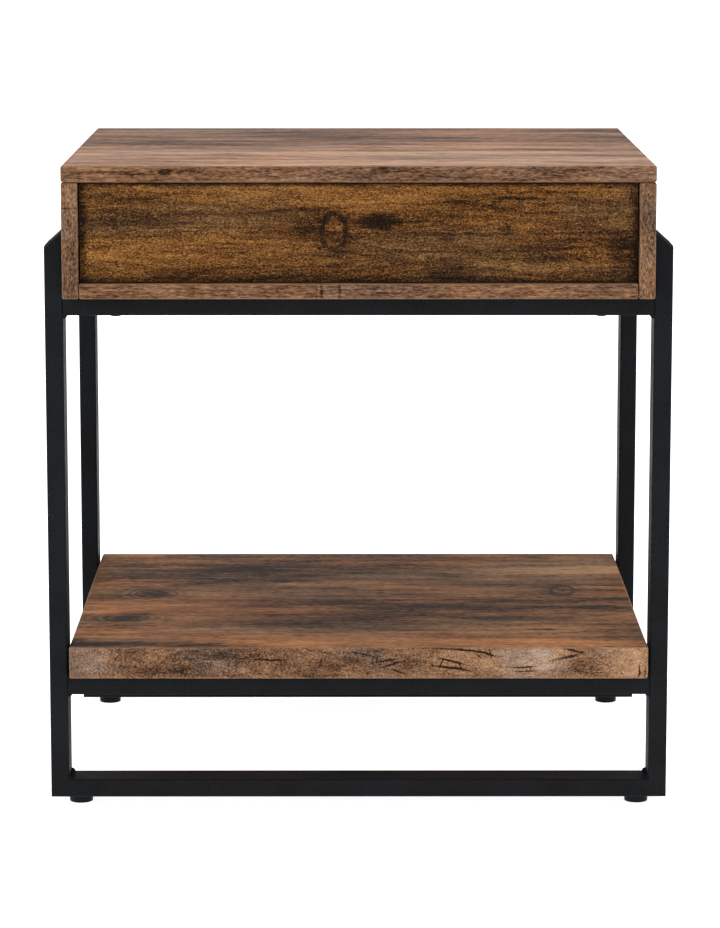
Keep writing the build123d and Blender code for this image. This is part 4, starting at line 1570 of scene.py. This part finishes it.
def cross_screws(node: str, body: str, head: float, cross: float, deep: float) -> HeadedFixings:
    """Gives a set of zinc-plated screws with crosses in their heads.

    Args:
        node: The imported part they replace.
        body: The body they ride on.
        head: The height of the head in millimetres.
        cross: The width of the cross in millimetres.
        deep: The depth of the cross in millimetres.

    Returns:
        The set.
    """
    return HeadedFixings(node, "zinc_steel", body, ZINC_SCREW, Recess.CROSS, head, cross, deep)


# ---------------------------------------------------------------- the sub-assemblies

ENDS = ("front", "rear")
SIDES = ("left", "right")


@dataclass
class WeldedFrames:
    """Two welded tube frames, front and rear, with rippled fillet welds and plastic leg caps.

    Sizes are millimetres and the crease degrees. A ripple's valley is a share of its crest, it swells and
    shrinks over two shares of its length, and the tail is the size of the bead's ends.
    """

    weld_leg: float = 3.6
    weld_length: float = 34.0
    ripples: int = 17
    valley: float = 0.86
    swell: float = 0.42
    shrink: float = 0.58
    tail: float = 0.6
    corners: int = 24
    crease: float = 50.0

    def weld(self) -> Piece:
        """Models one rippled weld bead along the depth, in the corner at the origin.

        Returns:
            The bead, filling the corner towards negative width and negative height.
        """
        step = self.weld_length / self.ripples * MM
        half = self.weld_length / 2 * MM
        clear_selection()
        bpy.ops.mesh.primitive_cylinder_add(
            vertices=self.corners,
            radius=self.weld_leg * MM,
            depth=step,
            location=(0, step / 2 - half, 0),
            rotation=(math.radians(90), 0, 0),
        )
        bead = bpy.context.active_object
        bpy.ops.object.transform_apply(location=True, rotation=True, scale=True)
        bpy.ops.object.mode_set(mode="EDIT")
        choose(bead, lambda face: face.normal.y > SQUARE_ON)
        draw_in(self.valley, 1)
        for _ in range(1, self.ripples):
            draw_out(step * self.swell, 1 / self.valley, 1)
            draw_out(step * self.shrink, self.valley, 1)
        for end in (-1, 1):
            choose(
                bead,
                lambda face, end=end: face.normal.y * end > SQUARE_ON
                and abs(face.calc_center_median().y) > half * 0.98,
            )
            draw_in(self.tail, 1)
        for normal in ((1, 0, 0), (0, 0, 1)):
            bpy.ops.mesh.select_all(action="SELECT")
            bpy.ops.mesh.bisect(plane_co=(0, 0, 0), plane_no=normal, use_fill=True, clear_outer=True)
        return finish_shape(bead, self.crease)

    def build(self) -> None:
        """Copies the bead into every corner between a leg and a rail, and dresses the frames."""
        places = []
        inner = abs(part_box("front_left_leg")[1].x)
        rails = {"foot_rail": 1, "shelf_rail": -1, "box_rail": -1}
        for end in ENDS:
            for rail, up in rails.items():
                low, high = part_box(f"{end}_{rail}")
                middle = (low.y + high.y) / 2
                level = high.z if up > 0 else low.z
                for side in (-1, 1):
                    flip = Matrix.Diagonal((side, 1, -up, 1))
                    places.append(Matrix.Translation((side * inner, middle, level)) @ flip)
        beads = repeat(self.weld(), places, "weld_beads_rippled")
        put_right(beads)
        hand_over(beads, BLACK_POWDER, "table", "weld_beads")
        legs = [f"{end}_{side}_leg" for end in ENDS for side in SIDES]
        dress(BLACK_POWDER, *legs, *(f"{end}_{rail}" for end in ENDS for rail in rails))
        dress(BLACK_CAP, *(f"{leg}_cap" for leg in legs))


@dataclass
class FootGlides:
    """Four pressed-in round glides: a flange, a parting groove, a tapered tread and a ribbed stem.

    Sizes are millimetres and the crease degrees. The tread's steps go inwards, each with its width and
    its rise.
    """

    radius: float = 12.5
    tread_radius: float = 11.4
    height: float = 8.0
    stem_radius: float = 3.5
    stem_length: float = 10.0
    tread_ease: float = 0.6
    rim_ease: float = 0.35
    groove: tuple[float, float] = (5.4, 5.9)
    groove_share: float = 0.96
    tread_steps: tuple[tuple[float, float], ...] = ((2.6, 0.0), (0.4, -0.5), (5.0, 0.0), (0.3, 0.3))
    ribs: int = 4
    rib_share: float = 0.88
    tip_share: float = 0.75
    corners: int = 64
    crease: float = 30.0

    def glide(self) -> Piece:
        """Models one glide that stands on the floor at the origin.

        Returns:
            The glide.
        """
        middle = self.height / 2
        piece = start_round(self.radius, self.height, (0, 0, middle), self.corners)
        choose(piece, looks_down)
        draw_in(self.tread_radius / self.radius)
        for end, ease, steps in ((-1, self.tread_ease, 5), (1, self.rim_ease, 3)):
            near = middle * MM * 0.99
            choose_edges(piece, lambda edge, end=end: all(v.co.z * end > near for v in edge.verts))
            bpy.ops.mesh.bevel(offset=ease * MM, segments=steps, affect="EDGES")
        for level in self.groove:
            bpy.ops.mesh.select_all(action="SELECT")
            bpy.ops.mesh.bisect(plane_co=(0, 0, level * MM), plane_no=(0, 0, 1))
        groove = sum(self.groove) / 2 - middle
        half_groove = (self.groove[1] - self.groove[0]) / 2
        choose(
            piece,
            lambda face: abs(face.calc_center_median().z / MM - groove) < half_groove / 2
            and abs(face.normal.z) < 0.5,
        )
        draw_in(self.groove_share)
        choose(piece, lambda face: looks_down(face) and face.calc_area() > BROAD)
        for width, rise in self.tread_steps:
            bpy.ops.mesh.inset(thickness=width * MM, depth=rise * MM)
        choose(piece, lambda face: face.normal.z > SQUARE_ON and face.calc_area() > BROAD)
        bpy.ops.mesh.inset(thickness=(self.radius - self.rim_ease - self.stem_radius) * MM)
        for _ in range(self.ribs):
            for share in (self.rib_share, 1 / self.rib_share):
                draw_out(self.stem_length / self.ribs / 2 * MM, share)
        draw_in(self.tip_share)
        return finish_shape(piece, self.crease)

    def build(self) -> None:
        """Copies the glide under each leg but the last, which takes the master itself."""
        master = self.glide()
        names = [f"{end}_{side}_glide" for end in ENDS for side in SIDES]
        for name in names:
            low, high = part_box(name)
            twin = master
            if name != names[-1]:
                twin = master.copy()
                twin.data = master.data.copy()
                bpy.context.collection.objects.link(twin)
            twin.data.transform(Matrix.Translation(((low.x + high.x) / 2, (low.y + high.y) / 2, low.z)))
            twin.name = f"{name}_ribbed"
            hand_over(twin, BLACK_NYLON, "table", name)


@dataclass
class Case:
    """The drawer case of five foiled boards, with its hidden cams, dowels and back screws."""

    bolts: HeadedFixings = button_bolts("box_bolts")
    back_screws: HeadedFixings = cross_screws("back_panel_screws", "table", 1.8, 4.4, 1.1)

    def build(self) -> None:
        """Builds the bolts and the screws, and dresses the boards."""
        self.bolts.build()
        self.back_screws.build()
        dress(TOP_BOARD, "top_panel")
        dress(BOTTOM_BOARD, "bottom_panel")
        dress(SIDE_BOARD, "left_side_panel", "right_side_panel")
        dress(BACK_BOARD, "back_panel")
        dress(BRIGHT_ZINC, "box_insert_nuts", "case_cam_locks", "case_cam_bolts")
        dress(BEECH, "case_dowels")


@dataclass
class Shelf:
    """The thick foiled shelf on the shelf rails, with its bolts."""

    bolts: HeadedFixings = button_bolts("shelf_bolts")

    def build(self) -> None:
        """Builds the bolts and dresses the shelf."""
        self.bolts.build()
        dress(SHELF_BOARD, "shelf")
        dress(BRIGHT_ZINC, "shelf_insert_nuts")


@dataclass
class Drawer:
    """The drawer: a foiled front on a melamine box, screwed and cam-locked together."""

    screws: HeadedFixings = cross_screws("drawer_screws", "drawer", 1.8, 4.4, 1.1)

    def build(self) -> None:
        """Builds the screws and dresses the boards."""
        self.screws.build()
        dress(DRAWER_FRONT_BOARD, "drawer_front")
        dress(DRAWER_BOX_LENGTHWAYS, "drawer_left_side", "drawer_right_side")
        dress(DRAWER_BOX_CROSSWAYS, "drawer_back", "drawer_bottom")
        dress(BRIGHT_ZINC, "drawer_cam_locks", "drawer_cam_bolts")


@dataclass
class Runners:
    """The pair of ball-bearing runners, with their screws."""

    fixed_screws: HeadedFixings = cross_screws("runner_screws", "table", 1.0, 3.4, 0.8)
    moving_screws: HeadedFixings = cross_screws("slide_screws", "drawer", 1.0, 3.4, 0.8)

    def build(self) -> None:
        """Builds the screws and dresses the rails, cages and balls."""
        self.fixed_screws.build()
        self.moving_screws.build()
        for side in SIDES:
            dress(BRIGHT_ZINC, f"{side}_runner_rail", f"{side}_runner_slide", f"{side}_ball_cage")
            dress(BEARING_STEEL, f"{side}_runner_balls")


@dataclass
class TouchLatch:
    """The push-to-open latch on the back panel, its plunger, spring and strike."""

    latch_screws: HeadedFixings = cross_screws("latch_screws", "table", 1.2, 3.2, 0.8)
    strike_screws: HeadedFixings = cross_screws("strike_screws", "drawer", 1.0, 3.0, 0.7)

    def build(self) -> None:
        """Builds the screws and dresses the parts."""
        self.latch_screws.build()
        self.strike_screws.build()
        dress(GREY_ACETAL, "latch_body", "latch_plunger")
        dress(BRIGHT_ZINC, "latch_strike")
        dress(SPRING_STEEL, "latch_spring")


# ---------------------------------------------------------------- the studio


@dataclass(frozen=True)
class WhiteFloor(Finish):
    """Opal acrylic sheet lit from below: an even white that only the feet shade a little."""

    deep: str = "#F2F2F2"
    pale: str = "#F7F7F7"
    cloud_size: float = 300.0
    roughness: float = 0.9
    gloss: float = 0.1
    glow: float = 0.9

    def paint(self, tree: Tree, shader: bpy.types.Node, place: Socket) -> None:
        """Fills in the shader: white, matt and faintly glowing.

        Args:
            tree: The material's node tree.
            shader: Its Principled shader.
            place: The point on the object, in millimetres.
        """
        cloud = add_node(
            tree, "ShaderNodeTexNoise", {"Vector": place, "Scale": 1 / self.cloud_size, "Detail": 2.0}
        ).outputs[0]
        white = add_node(
            tree, "ShaderNodeMix", {0: cloud, 6: linear(self.deep), 7: linear(self.pale)}, data_type="RGBA"
        ).outputs[2]
        tree.links.new(white, shader.inputs["Base Color"])
        shader.inputs["Roughness"].default_value = self.roughness
        shader.inputs["Specular IOR Level"].default_value = self.gloss
        shader.inputs["Emission Color"].default_value = (1, 1, 1, 1)
        shader.inputs["Emission Strength"].default_value = self.glow


@dataclass(frozen=True)
class SoftLight:
    """One square soft light: where it hangs and how large it is, in metres, and its power in watts."""

    name: str
    place: tuple[float, float, float]
    size: float
    power: float

    def hang(self, target: tuple[float, float, float]) -> None:
        """Hangs the light so that it looks at a point.

        Args:
            target: The point, in metres.
        """
        lamp = bpy.data.lights.new(self.name, "AREA")
        lamp.shape = "SQUARE"
        lamp.size = self.size
        lamp.energy = self.power
        holder = bpy.data.objects.new(self.name, lamp)
        bpy.context.scene.collection.objects.link(holder)
        holder.location = self.place
        look = Vector(target) - Vector(self.place)
        holder.rotation_euler = look.to_track_quat("-Z", "Y").to_euler()


@dataclass
class Studio:
    """A pale floor, a white surround, three soft lights and the camera.

    The lens and the sensor are millimetres, the dip and the swing of the camera degrees, the rest metres.
    """

    lens: float = 139.655
    sensor: float = 36.0
    stand: tuple[float, float, float] = (-0.0061, -3.7073, 0.9185)
    dip: float = 9.413
    swing: float = -0.122
    far: float = 200.0
    floor_size: float = 90.0
    surround: float = 0.92
    target: tuple[float, float, float] = (0.0, 0.0, 0.35)
    lights: tuple[SoftLight, ...] = (
        SoftLight("overhead_softbox", (0.2, -0.3, 2.6), 1.8, 22.0),
        SoftLight("left_softbox", (-1.9, -2.2, 1.7), 1.2, 14.0),
        SoftLight("right_softbox", (2.1, -1.9, 1.6), 1.2, 10.0),
    )

    def lay_floor(self) -> None:
        """Lays the floor, which is part of the studio and not of the table."""
        clear_selection()
        bpy.ops.mesh.primitive_plane_add(size=self.floor_size, location=(0, 0, 0))
        floor = bpy.context.active_object
        floor.name = "studio_floor"
        floor.data.materials.append(WhiteFloor("opal_acrylic_floor").material())

    def set_camera(self) -> None:
        """Stands the camera in its place."""
        camera = bpy.data.cameras.new("studio_camera")
        camera.lens = self.lens
        camera.sensor_width = self.sensor
        camera.clip_end = self.far
        holder = bpy.data.objects.new("studio_camera", camera)
        bpy.context.scene.collection.objects.link(holder)
        holder.location = self.stand
        holder.rotation_euler = (math.radians(90 - self.dip), 0, math.radians(self.swing))
        bpy.context.scene.camera = holder

    def build(self) -> None:
        """Sets up the floor, the surround, the lights and the camera."""
        self.lay_floor()
        world = bpy.data.worlds.new("white_surround")
        world.use_nodes = True
        world.node_tree.nodes.clear()
        glow = add_node(
            world.node_tree, "ShaderNodeBackground", {"Color": (1, 1, 1, 1), "Strength": self.surround}
        )
        add_node(world.node_tree, "ShaderNodeOutputWorld", {"Surface": glow.outputs[0]})
        bpy.context.scene.world = world
        for light in self.lights:
            light.hang(self.target)
        self.set_camera()
        bpy.context.scene.view_settings.view_transform = "Standard"


def main() -> None:
    """Builds the studio and every sub-assembly in order."""
    logging.basicConfig(level=logging.INFO, format="%(name)s: %(message)s")
    for part in (Studio(), WeldedFrames(), FootGlides(), Case(), Shelf(), Drawer(), Runners(), TouchLatch()):
        log.info("building %s", type(part).__name__)
        part.build()
    clear_selection()


if __name__ == "__main__":
    main()
